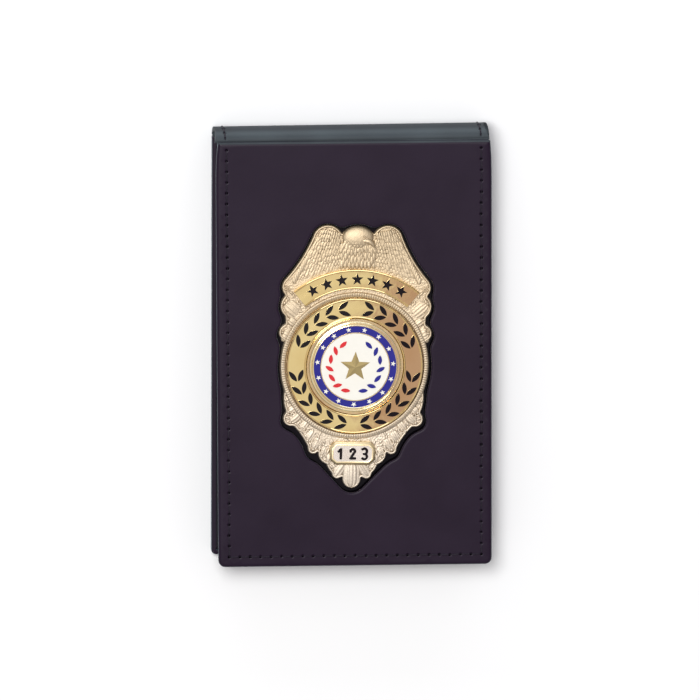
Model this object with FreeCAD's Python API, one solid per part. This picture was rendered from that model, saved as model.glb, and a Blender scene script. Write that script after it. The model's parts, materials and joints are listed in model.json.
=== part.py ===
import FreeCAD, Part
import math
import os

# ID badge wallet, closed, lying on its back cover. Millimetres, +Z up.
# +X runs across the covers, +Y towards the fold and +Z out of the front cover, where the badge is.
# The origin is the middle of the box's underside.

Vec = FreeCAD.Vector
ACROSS = Vec(1, 0, 0)
ALONG = Vec(0, 1, 0)
UP = Vec(0, 0, 1)

# Covers
cover_width = 74.0
front_length = 115.9        # fold end to free end
front_overhang = 1.4        # how far the front reaches past the back at the free end
corner_radius = 2.2
edge_round = 0.5
leather = 1.2
turned_wall = 1.2           # leather turned down round the cover's edge
layer_fit = 0.05            # play of an inner layer inside the turned wall
back_board = 1.0
lining = 0.8

# Sewing
seam_inset = 2.9            # edge to the middle of the stitch row
seam_end = 1.2              # stitch rows stop this far from the fold end
thread_width = 0.7
thread_height = 0.3
groove_play = 0.1
groove_depth = 0.35

# Spine strip and its two creases
crease_clearance = 0.12
spine_bulge = 2.0
spine_lining_gap = 0.35

# Window pockets inside the covers, with their cards
card_width = 54.0
card_length = 85.6
card_thickness = 0.76
card_corner = 3.18
card_play = 0.1
window_film = 0.3
frame_lip = 0.9
frame_side_margin = 4.0     # cover's side edge to the frame
frame_end_margin = 6.95     # front cover's ends to the frame
frame_sewn_border = 5.0     # closed left border of the pocket
frame_corner = 2.0
window_side_rim = 10.0
window_end_rim = 13.0
window_corner = 2.5
thumb_radius = 7.0
film_setback = 0.4
frame_seam_inset = 2.0
cover_gap = 0.4             # air between the two pockets when closed

# Badge recess and the pin pocket behind it
recess_board = 2.0
recess_floor = 0.9
pin_pocket_depth = 3.4
slot_play = 0.5

# Badge, in its own frame: ring middle at x = y = 0, back face at z = 0
badge_x = 0.4
badge_from_front_middle = -3.2
badge_lean = 2.0            # degrees clockwise, seen from the front
badge_base = 1.2
rope_ring = 19.35
rope_radius = 0.75
relief_step = 0.45
relief_ceiling = 4.0        # no part of the struck relief stands higher
panel_gap = 0.2
panel_bevel = 0.28

wing_root = (4.6, 34.6)     # first and last feather's root along the wing's front edge
wing_end = (15.6, 27.4)
feather_count = 8
feather_width = 2.5
feather_first_angle = 7.0   # where the feathers end above the ribbon, from the top
feather_last_angle = 44.0
feather_lap = 0.9
short_feather_width = 2.3
short_feather_share = 0.45
eagle_radius = 5.0
eagle_rise = 1.6
eagle_top_y = 34.0
eagle_foot_y = 26.5
lobe_length = 4.2
lobe_width = 2.4
fan_y = -28.0
fan_length = 4.0
fan_middle_length = 4.6
fan_step_angle = 20.0
fan_lobe_width = 1.7
petal_root_share = 0.3      # half width at a feather's or lobe's root, over its full width
petal_tip_share = 0.55      # length of its round tip, over its full width

ribbon_inner = 21.2
ribbon_outer = 26.3
ribbon_half_angle = 40.0
ribbon_height = 1.0
ring_inner = 13.2
ring_outer = 18.4
ring_height = 0.9
plate_width = 12.3
plate_length = 6.3
plate_middle_y = -23.8
plate_corner = 1.5
plate_height = 1.3
plate_bevel = 0.5

seal_radius = 13.0
seal_height = 1.5
seal_bead_ring = 12.0
seal_bead_radius = 0.7
blue_outer = 11.1
blue_inner = 9.4
white_radius = 9.1
enamel_depth = 0.35
enamel_proud = 0.12

ribbon_star_count = 7
ribbon_star_radius = 1.75
seal_star_count = 15
seal_star_radius = 0.75
middle_star_radius = 4.2
middle_star_height = 0.8
star_waist = 0.42           # inner over outer radius of a five-pointed star
laurel_leaf_length = 3.5
laurel_leaf_width = 1.25
laurel_lean = 30.0
laurel_lane = 1.06          # each leaf of a pair stands this far to its side of the ring's middle
laurel_upper = (12, 66, 5)  # first and last angle from the top, and pairs of leaves, on each side
laurel_lower = (100, 168, 6)
wreath_radius = 6.9
wreath_leaf_length = 2.6
wreath_leaf_width = 1.1
wreath_leaves = 7
wreath_angles = (30, 160)   # first and last leaf of each branch, from the top
wreath_lean = (75, 35)      # leaves lean inwards and outwards in turn
digit_height = 3.2
digit_width = 1.9
digit_stroke = 0.7
digit_pitch = 3.2
digit_flag = 0.62           # how far the one's flag drops
digit_waist = 0.18          # how far left of its middle the three is drawn in

# Pin and catch on the badge's back
pin_y = 8.0
pin_drop = 1.65             # back of the badge to the pin's axis
hinge_x = -12.0
catch_x = 12.0
pin_tip_x = 15.0
pin_radius = 0.4
foot_size = 4.4
foot_thickness = 0.5
eye_radius = 1.0
eye_width = 1.4
ear_thickness = 0.6
ear_radius = 1.15
ear_play = 0.08
rivet_radius = 0.5
rivet_head_radius = 0.9
rivet_head = 0.4
rivet_play = 0.05
catch_length = 2.4
catch_outer = 1.4
catch_play = 0.06
rotor_outer = 0.9
rotor_bore = 0.5
rotor_flange = 1.25
rotor_flange_thickness = 0.6
rotor_tab_reach = 2.3
rotor_tab_width = 0.9
rotor_tab_angle = 48.0      # from straight back, towards the fold

# Window frames and their openings follow the covers
frame_width = cover_width - 2 * frame_side_margin
frame_length = front_length - 2 * frame_end_margin
window_width = frame_width - 2 * window_side_rim
window_length = frame_length - 2 * window_end_rim

# Heights of the layers, bottom to top
pocket_height = card_thickness + 2 * card_play + window_film + frame_lip
z_back_board = leather
z_back_lining = z_back_board + back_board
z_back_inside = z_back_lining + lining
z_back_pocket_top = z_back_inside + pocket_height
z_front_inside = z_back_pocket_top + cover_gap + pocket_height
z_pin_pocket = z_front_inside + lining
z_floor = z_pin_pocket + pin_pocket_depth
z_recess = z_floor + recess_floor
z_front_leather = z_recess + recess_board
z_top = z_front_leather + leather

# Places along Y: the crease axes, then the ends of the covers
spine_reach = spine_bulge + leather / 2
crease_setback = leather / 2 + crease_clearance
box_length = front_length + crease_setback + spine_reach
y_crease = box_length / 2 - spine_reach
y_fold_end = y_crease - crease_setback
y_front_free = y_fold_end - front_length
y_back_free = y_front_free + front_overhang
y_front_middle = (y_fold_end + y_front_free) / 2
y_back_middle = (y_fold_end + y_back_free) / 2
badge_y = y_front_middle + badge_from_front_middle

# Right half of the badge's edge from the top of the eagle's head down to the tip: bend, end
badge_top = (0, 38.1)
badge_edge = [
    ((2.4, 37.5), (4.3, 35.9)),
    ((8.15, 38.4), (12.1, 35.3)),
    ((15.3, 28.9), (19.2, 23.6)),
    ((20.1, 21.9), (19.1, 19.0)),
    ((20.4, 16.8), (19.0, 13.3)),
    (None, (18.9, 11.2)),
    ((20.7, 8.8), (18.95, 6.7)),
    ((20.1, 0), (18.8, -7.1)),
    ((18.95, -9.6), (18.1, -12.8)),
    ((18.4, -16.0), (16.0, -16.6)),
    ((13.7, -19.5), (12.0, -22.4)),
    ((11.1, -24.2), (9.2, -23.5)),
    ((8.4, -26.1), (6.9, -27.0)),
    ((6.3, -28.4), (5.3, -29.5)),
    ((4.2, -31.0), (2.6, -31.3)),
    ((1.8, -33.0), (0, -33.5)),
]

# Tips of the leaf lobes down the badge's right edge
lobe_tips = [(19.9, 17.2), (18.6, 12.6), (20.0, 8.9), (18.4, -9.6), (17.7, -13.0), (17.4, -15.9),
             (14.4, -17.8), (12.5, -20.6), (11.0, -23.3), (8.3, -25.0), (6.6, -26.9), (5.2, -28.8)]

# Right half of the cut-out that the badge lies in, a little wider and smoother
recess_top = (0, 39.3)
recess_edge = [
    ((2.8, 38.8), (4.4, 37.7)),
    ((8.4, 39.5), (12.9, 36.0)),
    ((16.2, 29.3), (20.2, 24.2)),
    ((21.1, 21.7), (20.3, 19.0)),
    ((21.4, 16.6), (20.1, 13.2)),
    (None, (20.0, 11.6)),
    ((21.7, 8.7), (20.2, 5.8)),
    ((21.0, 0), (19.8, -7.0)),
    ((19.9, -9.6), (19.2, -12.6)),
    ((19.3, -17.0), (16.8, -18.0)),
    ((14.7, -20.2), (13.2, -23.2)),
    ((12.2, -25.4), (9.9, -26.2)),
    (None, (3.4, -33.0)),
    ((1.9, -34.4), (0, -34.8)),
]


def save(name, shape):
    shape.exportStep("parts/" + name + ".step")


def box(x_low, x_high, y_low, y_high, z_low, z_high):
    return Part.makeBox(x_high - x_low, y_high - y_low, z_high - z_low, Vec(x_low, y_low, z_low))


def plate(x_low, x_high, y_low, y_high, z_low, z_high, radius):
    """Flat plate with its four upright corners rounded."""
    body = box(x_low, x_high, y_low, y_high, z_low, z_high)
    upright = [edge for edge in body.Edges if edge.BoundBox.ZLength > 0.5 * (z_high - z_low)]
    return body.makeFillet(radius, upright)


def edges_at(shape, z):
    """Level edges at one height."""
    return [edge for edge in shape.Edges
            if abs(edge.BoundBox.ZMin - z) < 1e-6 and abs(edge.BoundBox.ZMax - z) < 1e-6]


def prism(points, z_low, z_high):
    """Upright prism on straight-sided points."""
    corners = [Vec(x, y, z_low) for x, y in points]
    face = Part.Face(Part.makePolygon(corners + [corners[0]]))
    return face.extrude(UP * (z_high - z_low))


def half_edges(start, steps, side):
    """Lines and arcs down one side of a mirrored outline; side is 1 for right and -1 for left."""
    edges = []
    here = Vec(side * start[0], start[1], 0)
    for bend, end in steps:
        there = Vec(side * end[0], end[1], 0)
        if bend is None:
            edges.append(Part.makeLine(here, there))
        else:
            edges.append(Part.Arc(here, Vec(side * bend[0], bend[1], 0), there).toShape())
        here = there
    return edges


def mirrored_prism(start, steps, z_low, z_high):
    right = half_edges(start, steps, 1)
    left = half_edges(start, steps, -1)
    face = Part.Face(Part.Wire(Part.__sortEdges__(right + left)))
    face.translate(UP * z_low)
    return face.extrude(UP * (z_high - z_low))


def star_points(radius):
    """Corners of a five-pointed star, one point up."""
    points = []
    for corner in range(10):
        reach = radius if corner % 2 == 0 else radius * star_waist
        turn = math.radians(36 * corner)
        points.append((reach * math.sin(turn), reach * math.cos(turn)))
    return points


def star(radius, z_low, z_high):
    return prism(star_points(radius), z_low, z_high)


def leaf(length, width, z_low, z_high):
    """Pointed leaf along +Y, its middle at the origin."""
    low = Vec(0, -length / 2, z_low)
    high = Vec(0, length / 2, z_low)
    right = Part.Arc(low, Vec(width / 2, 0, z_low), high).toShape()
    left = Part.Arc(high, Vec(-width / 2, 0, z_low), low).toShape()
    return Part.Face(Part.Wire([right, left])).extrude(UP * (z_high - z_low))


def petal(base, tip, width, z_low, z_high):
    """Feather or leaf lobe from base to tip, round at its tip."""
    start = Vec(base[0], base[1], z_low)
    end = Vec(tip[0], tip[1], z_low)
    along = (end - start).normalize()
    side = Vec(-along.y, along.x, 0)
    root = side * (width * petal_root_share)
    shoulder = side * (width / 2)
    bend = end - along * (width * petal_tip_share)
    edges = [
        Part.makeLine(start + root, bend + shoulder),
        Part.Arc(bend + shoulder, end, bend - shoulder).toShape(),
        Part.makeLine(bend - shoulder, start - root),
        Part.makeLine(start - root, start + root),
    ]
    return Part.Face(Part.Wire(edges)).extrude(UP * (z_high - z_low))


def dial(shape, radius, angle):
    """Moves a shape at the origin out to a radius, angle clockwise from the top."""
    copy = shape.copy()
    copy.translate(ALONG * radius)
    copy.rotate(Vec(0, 0, 0), UP, -angle)
    return copy


def ring_band(inner, outer, half_angle, z_low, z_high):
    """Part of a flat ring, half_angle each way from the top."""
    turn = math.radians(half_angle)
    ends = []
    for radius in (inner, outer):
        left = Vec(-radius * math.sin(turn), radius * math.cos(turn), z_low)
        top = Vec(0, radius, z_low)
        right = Vec(radius * math.sin(turn), radius * math.cos(turn), z_low)
        ends.append((left, top, right))
    (low_left, low_top, low_right), (high_left, high_top, high_right) = ends
    edges = [
        Part.Arc(low_left, low_top, low_right).toShape(),
        Part.makeLine(low_right, high_right),
        Part.Arc(high_right, high_top, high_left).toShape(),
        Part.makeLine(high_left, low_left),
    ]
    return Part.Face(Part.Wire(edges)).extrude(UP * (z_high - z_low))


def washer(inner, outer, z_low, z_high):
    disc = Part.makeCylinder(outer, z_high - z_low, Vec(0, 0, z_low))
    return disc.cut(Part.makeCylinder(inner, z_high - z_low, Vec(0, 0, z_low)))


def seam_strip(x_low, x_high, y_low, y_high, width, z_low, z_high):
    """Three sides of a rectangle as a flat strip, open towards +Y. The sizes are to its middle line."""
    half = width / 2
    outside = box(x_low - half, x_high + half, y_low - half, y_high, z_low, z_high)
    inside = box(x_low + half, x_high - half, y_low + half, y_high, z_low, z_high)
    return outside.cut(inside)


def on_badge(shape):
    """From the badge's own frame to its place in the recess."""
    shape.rotate(Vec(0, 0, 0), UP, -badge_lean)
    shape.translate(Vec(badge_x, badge_y, z_recess))
    return shape


# Covers

def cover_tray(y_free, z_face, z_rim):
    """Outer leather: a flat face at z_face with its edge turned to z_rim on all four sides."""
    inward = 1 if z_rim > z_face else -1
    half = cover_width / 2
    z_low, z_high = sorted((z_face, z_rim))
    body = plate(-half, half, y_free, y_fold_end, z_low, z_high, corner_radius)
    body = body.makeFillet(edge_round, edges_at(body, z_face))
    z_floor_low, z_floor_high = sorted((z_face + inward * leather, z_rim + inward))
    return body.cut(plate(-half + turned_wall, half - turned_wall, y_free + turned_wall,
                          y_fold_end - turned_wall, z_floor_low, z_floor_high,
                          max(corner_radius - turned_wall, layer_fit)))


def cover_layer(y_free, z_low, z_high):
    """Sheet that fills the inside of a cover's turned edge."""
    inset = turned_wall + layer_fit
    half = cover_width / 2 - inset
    return plate(-half, half, y_free + inset, y_fold_end - inset, z_low, z_high,
                 max(corner_radius - turned_wall, layer_fit))


def cover_seam(y_free, width, z_low, z_high):
    half = cover_width / 2 - seam_inset
    return seam_strip(-half, half, y_free + seam_inset, y_fold_end - seam_end, width, z_low, z_high)


groove_width = thread_width + 2 * groove_play


def make_back_cover():
    tray = cover_tray(y_back_free, 0, z_back_inside)
    save("back_leather", tray.cut(cover_seam(y_back_free, groove_width, 0, groove_depth)))
    save("back_board", cover_layer(y_back_free, z_back_board, z_back_lining))
    save("back_lining", cover_layer(y_back_free, z_back_lining, z_back_inside))
    save("back_seam_thread",
         cover_seam(y_back_free, thread_width, groove_depth - thread_height, groove_depth))


def make_front_cover():
    cut_out = on_badge(mirrored_prism(recess_top, recess_edge, 0, recess_board + leather))
    tray = cover_tray(y_front_free, z_top, z_front_inside)
    groove = cover_seam(y_front_free, groove_width, z_top - groove_depth, z_top)
    save("front_leather", tray.cut(cut_out).cut(groove))
    z_thread = z_top - groove_depth
    save("front_seam_thread", cover_seam(y_front_free, thread_width, z_thread, z_thread + thread_height))
    save("recess_board", cover_layer(y_front_free, z_recess, z_front_leather).cut(cut_out))
    save("front_lining", cover_layer(y_front_free, z_front_inside, z_pin_pocket))

    # The floor under the badge has a slot for each foot of the pin, and the pad a pocket for the pin.
    foot_half = foot_size / 2 + slot_play
    hinge_slot = box(hinge_x - foot_half, hinge_x + foot_half,
                     pin_y - foot_half, pin_y + foot_half, -recess_floor, 0)
    tab_end = catch_length / 2 + catch_play + rotor_flange_thickness + slot_play
    catch_slot = box(catch_x - foot_half, catch_x + max(foot_half, tab_end),
                     pin_y - foot_half, pin_y + max(foot_half, rotor_tab_reach + slot_play),
                     -recess_floor, 0)
    floor = cover_layer(y_front_free, z_floor, z_recess)
    save("recess_floor", floor.cut(on_badge(hinge_slot)).cut(on_badge(catch_slot)))
    pocket = box(hinge_x - foot_half, pin_tip_x + foot_half, pin_y - foot_half,
                 pin_y + foot_half + slot_play, -recess_floor - pin_pocket_depth, -recess_floor)
    save("pin_pocket_pad", cover_layer(y_front_free, z_pin_pocket, z_floor).cut(on_badge(pocket)))


# Spine

spine_half_chord = z_top / 2 - leather / 2
spine_radius = (spine_half_chord ** 2 + spine_bulge ** 2) / (2 * spine_bulge)
spine_middle = Vec(0, y_crease + spine_bulge - spine_radius, z_top / 2)
spine_half_angle = math.degrees(math.asin(spine_half_chord / spine_radius))


def spine_layer(inner, outer, half_angle, x_low, x_high):
    """Arched strip between two radii about the spine's middle line."""
    band = ring_band(inner, outer, half_angle, 0, x_high - x_low)
    band.rotate(Vec(0, 0, 0), UP, -90)
    band.rotate(Vec(0, 0, 0), Vec(1, 1, 1), 120)
    band.translate(spine_middle + ACROSS * x_low)
    return band


def make_spine():
    half = cover_width / 2
    outer = spine_radius + leather / 2
    strip = spine_layer(spine_radius - leather / 2, outer, spine_half_angle, -half, half)
    for z_crease in (leather / 2, z_top - leather / 2):
        strip = strip.fuse(Part.makeCylinder(leather / 2, cover_width,
                                             Vec(-half, y_crease, z_crease), ACROSS))
    threads = []
    row = half - seam_inset
    for x_row in (-row, row):
        groove_half = groove_width / 2
        strip = strip.cut(spine_layer(outer - groove_depth, outer + groove_depth, spine_half_angle,
                                      x_row - groove_half, x_row + groove_half))
        threads.append(spine_layer(outer - groove_depth, outer - groove_depth + thread_height,
                                   spine_half_angle, x_row - thread_width / 2, x_row + thread_width / 2))
    save("spine_leather", strip)
    save("spine_thread", Part.makeCompound(threads))

    # The lining stops where it would meet the covers' turned edges.
    lining_outer = spine_radius - leather / 2
    lining_inner = lining_outer - lining
    clear_y = y_fold_end + spine_lining_gap - spine_middle.y
    clear_angle = math.degrees(math.acos(min(clear_y / lining_inner, 1)))
    save("spine_lining", spine_layer(lining_inner, lining_outer, clear_angle, -half, half))


# Window pockets

def pocket_pieces():
    """Frame, film, thread and card on a lining at z = 0, middle at x = y = 0, open towards +X."""
    half_x = frame_width / 2
    half_y = frame_length / 2
    z_film = card_thickness + 2 * card_play
    z_lip = z_film + window_film
    pocket_left = -half_x + frame_sewn_border
    pocket_half = card_length / 2 + card_play
    thumb = Part.makeCylinder(thumb_radius, pocket_height, Vec(half_x, 0, 0))

    frame = plate(-half_x, half_x, -half_y, half_y, 0, pocket_height, frame_corner)
    frame = frame.cut(box(pocket_left, half_x + frame_corner, -pocket_half, pocket_half, 0, z_lip))
    frame = frame.cut(plate(-window_width / 2, window_width / 2, -window_length / 2, window_length / 2,
                            0, pocket_height, window_corner))
    frame = frame.cut(thumb)

    film = box(pocket_left + layer_fit, half_x - film_setback,
               -pocket_half + layer_fit, pocket_half - layer_fit, z_film, z_lip).cut(thumb)

    rows = (-half_y + frame_seam_inset, half_y - frame_seam_inset)
    left = -half_x + frame_seam_inset
    right = half_x - seam_end

    def side_seam(width, z_low, z_high):
        strip = seam_strip(rows[0], rows[1], left, right, width, z_low, z_high)
        strip.rotate(Vec(0, 0, 0), UP, -90)
        return strip

    z_thread = pocket_height - groove_depth
    frame = frame.cut(side_seam(groove_width, z_thread, pocket_height))
    thread = side_seam(thread_width, z_thread, z_thread + thread_height)

    card_left = pocket_left + card_play
    card = plate(card_left, card_left + card_width, -card_length / 2, card_length / 2,
                 card_play, card_play + card_thickness, card_corner)
    return {"window_frame": frame, "window": film, "frame_thread": thread, "id_card": card}


def make_pockets():
    for name, shape in pocket_pieces().items():
        upper = shape.copy()
        upper.rotate(Vec(0, 0, 0), ACROSS, 180)
        upper.translate(Vec(0, y_front_middle, z_front_inside))
        save("front_" + name, upper)
        shape.translate(Vec(0, y_back_middle, z_back_inside))
        save("back_" + name, shape)


# Badge

def wing_feathers(side):
    """Long feathers fan from the wing's front edge to the ribbon, under a row of short ones."""
    feathers = []
    reach = ribbon_outer + feather_lap
    for index in range(feather_count):
        share = index / (feather_count - 1)
        base = Vec(side * (wing_root[0] + (wing_end[0] - wing_root[0]) * share),
                   wing_root[1] + (wing_end[1] - wing_root[1]) * share, 0)
        turn = math.radians(feather_first_angle + (feather_last_angle - feather_first_angle) * share)
        tip = Vec(side * reach * math.sin(turn), reach * math.cos(turn), 0)
        feathers.append(petal(base, tip, feather_width, 0, badge_base + relief_step))
        middle = base + (tip - base) * short_feather_share
        root = base + Vec(side * short_feather_share, 1, 0)
        feathers.append(petal(root, middle, short_feather_width, 0, badge_base + 2 * relief_step))
    return feathers


def scroll_leaves(side):
    """Leaf lobes beside and below the ring, each pointing outwards to the badge's edge."""
    lobes = []
    for x, y in lobe_tips:
        tip = Vec(side * x, y, 0)
        inner = max(tip.Length - lobe_length, rope_ring + rope_radius)
        base = tip * (inner / tip.Length)
        lobes.append(petal(base, tip, lobe_width, 0, badge_base + relief_step))
    return lobes


def fan_leaves():
    """Fan of five lobes below the number plate."""
    lobes = []
    for step in range(-2, 3):
        turn = math.radians(fan_step_angle * step)
        length = fan_length if step else fan_middle_length
        base = Vec(fan_lobe_width / 2 * math.sin(turn), fan_y, 0)
        tip = base + Vec(math.sin(turn), -math.cos(turn), 0) * length
        lobes.append(petal(base, tip, fan_lobe_width, 0, badge_base + 2 * relief_step))
    return lobes


def eagle_body():
    """Rounded head and breast between the wings, the head at the top."""
    sunk = badge_base + eagle_rise - eagle_radius
    breast = Part.makeCylinder(eagle_radius, eagle_top_y - eagle_foot_y, Vec(0, eagle_foot_y, sunk), ALONG)
    head = Part.makeSphere(eagle_radius, Vec(0, eagle_top_y, sunk))
    above = box(-eagle_radius, eagle_radius, eagle_foot_y, eagle_top_y + eagle_radius, 0, relief_ceiling)
    return breast.fuse(head).common(above)


def make_badge_shell():
    """Struck base: eagle with spread wings on top, rope ring, scroll leaves and a fan at the tip."""
    relief = fan_leaves() + [eagle_body()]
    for side in (1, -1):
        relief += wing_feathers(side) + scroll_leaves(side)
    raised = relief[0].multiFuse(relief[1:])
    raised = raised.common(mirrored_prism(badge_top, badge_edge, 0, relief_ceiling))
    raised = raised.cut(ring_band(ribbon_inner - panel_gap, ribbon_outer + panel_gap,
                                  ribbon_half_angle + panel_gap, badge_base, relief_ceiling))
    raised = raised.cut(number_outline(panel_gap, badge_base, relief_ceiling))
    base = mirrored_prism(badge_top, badge_edge, 0, badge_base)
    rope = Part.makeTorus(rope_ring, rope_radius, Vec(0, 0, badge_base))
    shell = base.multiFuse([raised, rope]).removeSplitter()
    save("badge_shell", on_badge(shell))


def number_outline(grow, z_low, z_high):
    half_x = plate_width / 2 + grow
    half_y = plate_length / 2 + grow
    points = [(-half_x + plate_corner, -half_y), (half_x - plate_corner, -half_y),
              (half_x, -half_y + plate_corner), (half_x, half_y - plate_corner),
              (half_x - plate_corner, half_y), (-half_x + plate_corner, half_y),
              (-half_x, half_y - plate_corner), (-half_x, -half_y + plate_corner)]
    shape = prism(points, z_low, z_high)
    shape.translate(ALONG * plate_middle_y)
    return shape


def make_panels():
    z_ribbon = badge_base + ribbon_height
    ribbon = ring_band(ribbon_inner, ribbon_outer, ribbon_half_angle, badge_base, z_ribbon)
    ribbon = ribbon.makeChamfer(panel_bevel, edges_at(ribbon, z_ribbon))
    save("ribbon_panel", on_badge(ribbon))

    pitch = 2 * ribbon_half_angle / (ribbon_star_count + 1)
    marks = []
    for index in range(ribbon_star_count):
        angle = (index + 1) * pitch - ribbon_half_angle
        mark = star(ribbon_star_radius, z_ribbon, z_ribbon + enamel_proud)
        marks.append(dial(mark, (ribbon_inner + ribbon_outer) / 2, angle))
    save("ribbon_stars", on_badge(Part.makeCompound(marks)))

    z_ring = badge_base + ring_height
    ring = washer(ring_inner, ring_outer, badge_base, z_ring)
    ring = ring.makeChamfer(panel_bevel, edges_at(ring, z_ring))
    save("ring_panel", on_badge(ring))
    save("ring_laurel", on_badge(Part.makeCompound(ring_laurel(z_ring))))

    z_plate = badge_base + plate_height
    panel = number_outline(0, badge_base, z_plate)
    panel = panel.makeChamfer(plate_bevel, edges_at(panel, z_plate))
    save("number_plate", on_badge(panel))
    save("number_digits", on_badge(Part.makeCompound(number_digits(z_plate))))


def ring_laurel(z_ring):
    """Laurel sprays up both sides, in an upper and a lower arc: pairs of leaves along the ring."""
    middle = (ring_inner + ring_outer) / 2
    leaves = []
    for side in (1, -1):
        for first, last, count in (laurel_upper, laurel_lower):
            for index in range(count):
                angle = first + (last - first) * index / (count - 1)
                for lane in (1, -1):
                    mark = leaf(laurel_leaf_length, laurel_leaf_width, z_ring, z_ring + enamel_proud)
                    tilt = 90 + lane * laurel_lean
                    mark.rotate(Vec(0, 0, 0), UP, -side * tilt)
                    leaves.append(dial(mark, middle + lane * laurel_lane, side * angle))
    return leaves


def stroke(edges, z_low, z_high):
    """Rounded stroke of the digits' width along an open line."""
    path = Part.Wire(edges)
    face = path.makeOffset2D(digit_stroke / 2, 0, True, False)
    face.translate(UP * z_low)
    return face.extrude(UP * (z_high - z_low))


def number_digits(z_plate):
    """Plain digits one, two and three in line strokes."""
    high = (digit_height - digit_stroke) / 2
    wide = (digit_width - digit_stroke) / 2
    one = [Part.makeLine(Vec(-wide, high - digit_flag, 0), Vec(0, high, 0)),
           Part.makeLine(Vec(0, high, 0), Vec(0, -high, 0))]
    two = [Part.Arc(Vec(-wide, high - wide, 0), Vec(0, high, 0), Vec(wide, high - wide, 0)).toShape(),
           Part.makeLine(Vec(wide, high - wide, 0), Vec(-wide, -high, 0)),
           Part.makeLine(Vec(-wide, -high, 0), Vec(wide, -high, 0))]
    waist = Vec(-digit_waist, 0, 0)
    upper = [Part.Arc(Vec(-wide, high, 0), Vec(wide, high / 2, 0), waist).toShape()]
    lower = [Part.Arc(waist, Vec(wide, -high / 2, 0), Vec(-wide, -high, 0)).toShape()]
    digits = []
    for index, lines in enumerate(([one], [two], [upper, lower])):
        strokes = [stroke(edges, z_plate, z_plate + enamel_proud) for edges in lines]
        digit = strokes[0].multiFuse(strokes[1:]) if len(strokes) > 1 else strokes[0]
        digit.translate(Vec((index - 1) * digit_pitch, plate_middle_y, 0))
        digits.append(digit)
    return digits


def make_seal():
    """Applied round seal: two enamel fields in a struck disc with a beaded rim."""
    z_seal = badge_base + seal_height
    z_enamel = z_seal - enamel_depth
    disc = Part.makeCylinder(seal_radius, seal_height, Vec(0, 0, badge_base))
    disc = disc.fuse(Part.makeTorus(seal_bead_ring, seal_bead_radius, Vec(0, 0, z_seal - seal_bead_radius / 2)))
    blue = washer(blue_inner, blue_outer, z_enamel, z_seal)
    white = Part.makeCylinder(white_radius, enamel_depth, Vec(0, 0, z_enamel))
    disc = disc.cut(washer(blue_inner, blue_outer, z_enamel, z_seal + seal_bead_radius))
    disc = disc.cut(white)
    save("seal_disc", on_badge(disc))
    save("blue_enamel", on_badge(blue))
    save("white_enamel", on_badge(white))

    middle = (blue_inner + blue_outer) / 2
    stars = []
    for index in range(seal_star_count):
        mark = star(seal_star_radius, z_seal, z_seal + enamel_proud)
        stars.append(dial(mark, middle, 180 + 360 * index / seal_star_count))
    save("seal_stars", on_badge(Part.makeCompound(stars)))

    # A faceted star stands in the middle, between two leafy branches.
    peak = Vec(0, 0, z_seal + middle_star_height)
    rim = [Vec(x, y, z_seal) for x, y in star_points(middle_star_radius)]
    faces = [Part.Face(Part.makePolygon(rim + [rim[0]]))]
    for index, corner in enumerate(rim):
        faces.append(Part.Face(Part.makePolygon([corner, rim[index - 1], peak, corner])))
    save("middle_star", on_badge(Part.Solid(Part.Shell(faces))))

    for name, side in (("red_leaves", -1), ("blue_leaves", 1)):
        branch = []
        for index in range(wreath_leaves):
            first, last = wreath_angles
            angle = side * (first + (last - first) * index / (wreath_leaves - 1))
            mark = leaf(wreath_leaf_length, wreath_leaf_width, z_seal, z_seal + enamel_proud)
            mark.rotate(Vec(0, 0, 0), UP, side * wreath_lean[index % 2])
            branch.append(dial(mark, wreath_radius, angle))
        save(name, on_badge(Part.makeCompound(branch)))


# Pin and catch

def pin_foot(x, reach):
    """Square foot soldered to the badge's back; reach is how far it goes past x towards the tip."""
    half = foot_size / 2
    return box(x - half, x + reach, pin_y - half, pin_y + half, -foot_thickness, 0)


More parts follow.
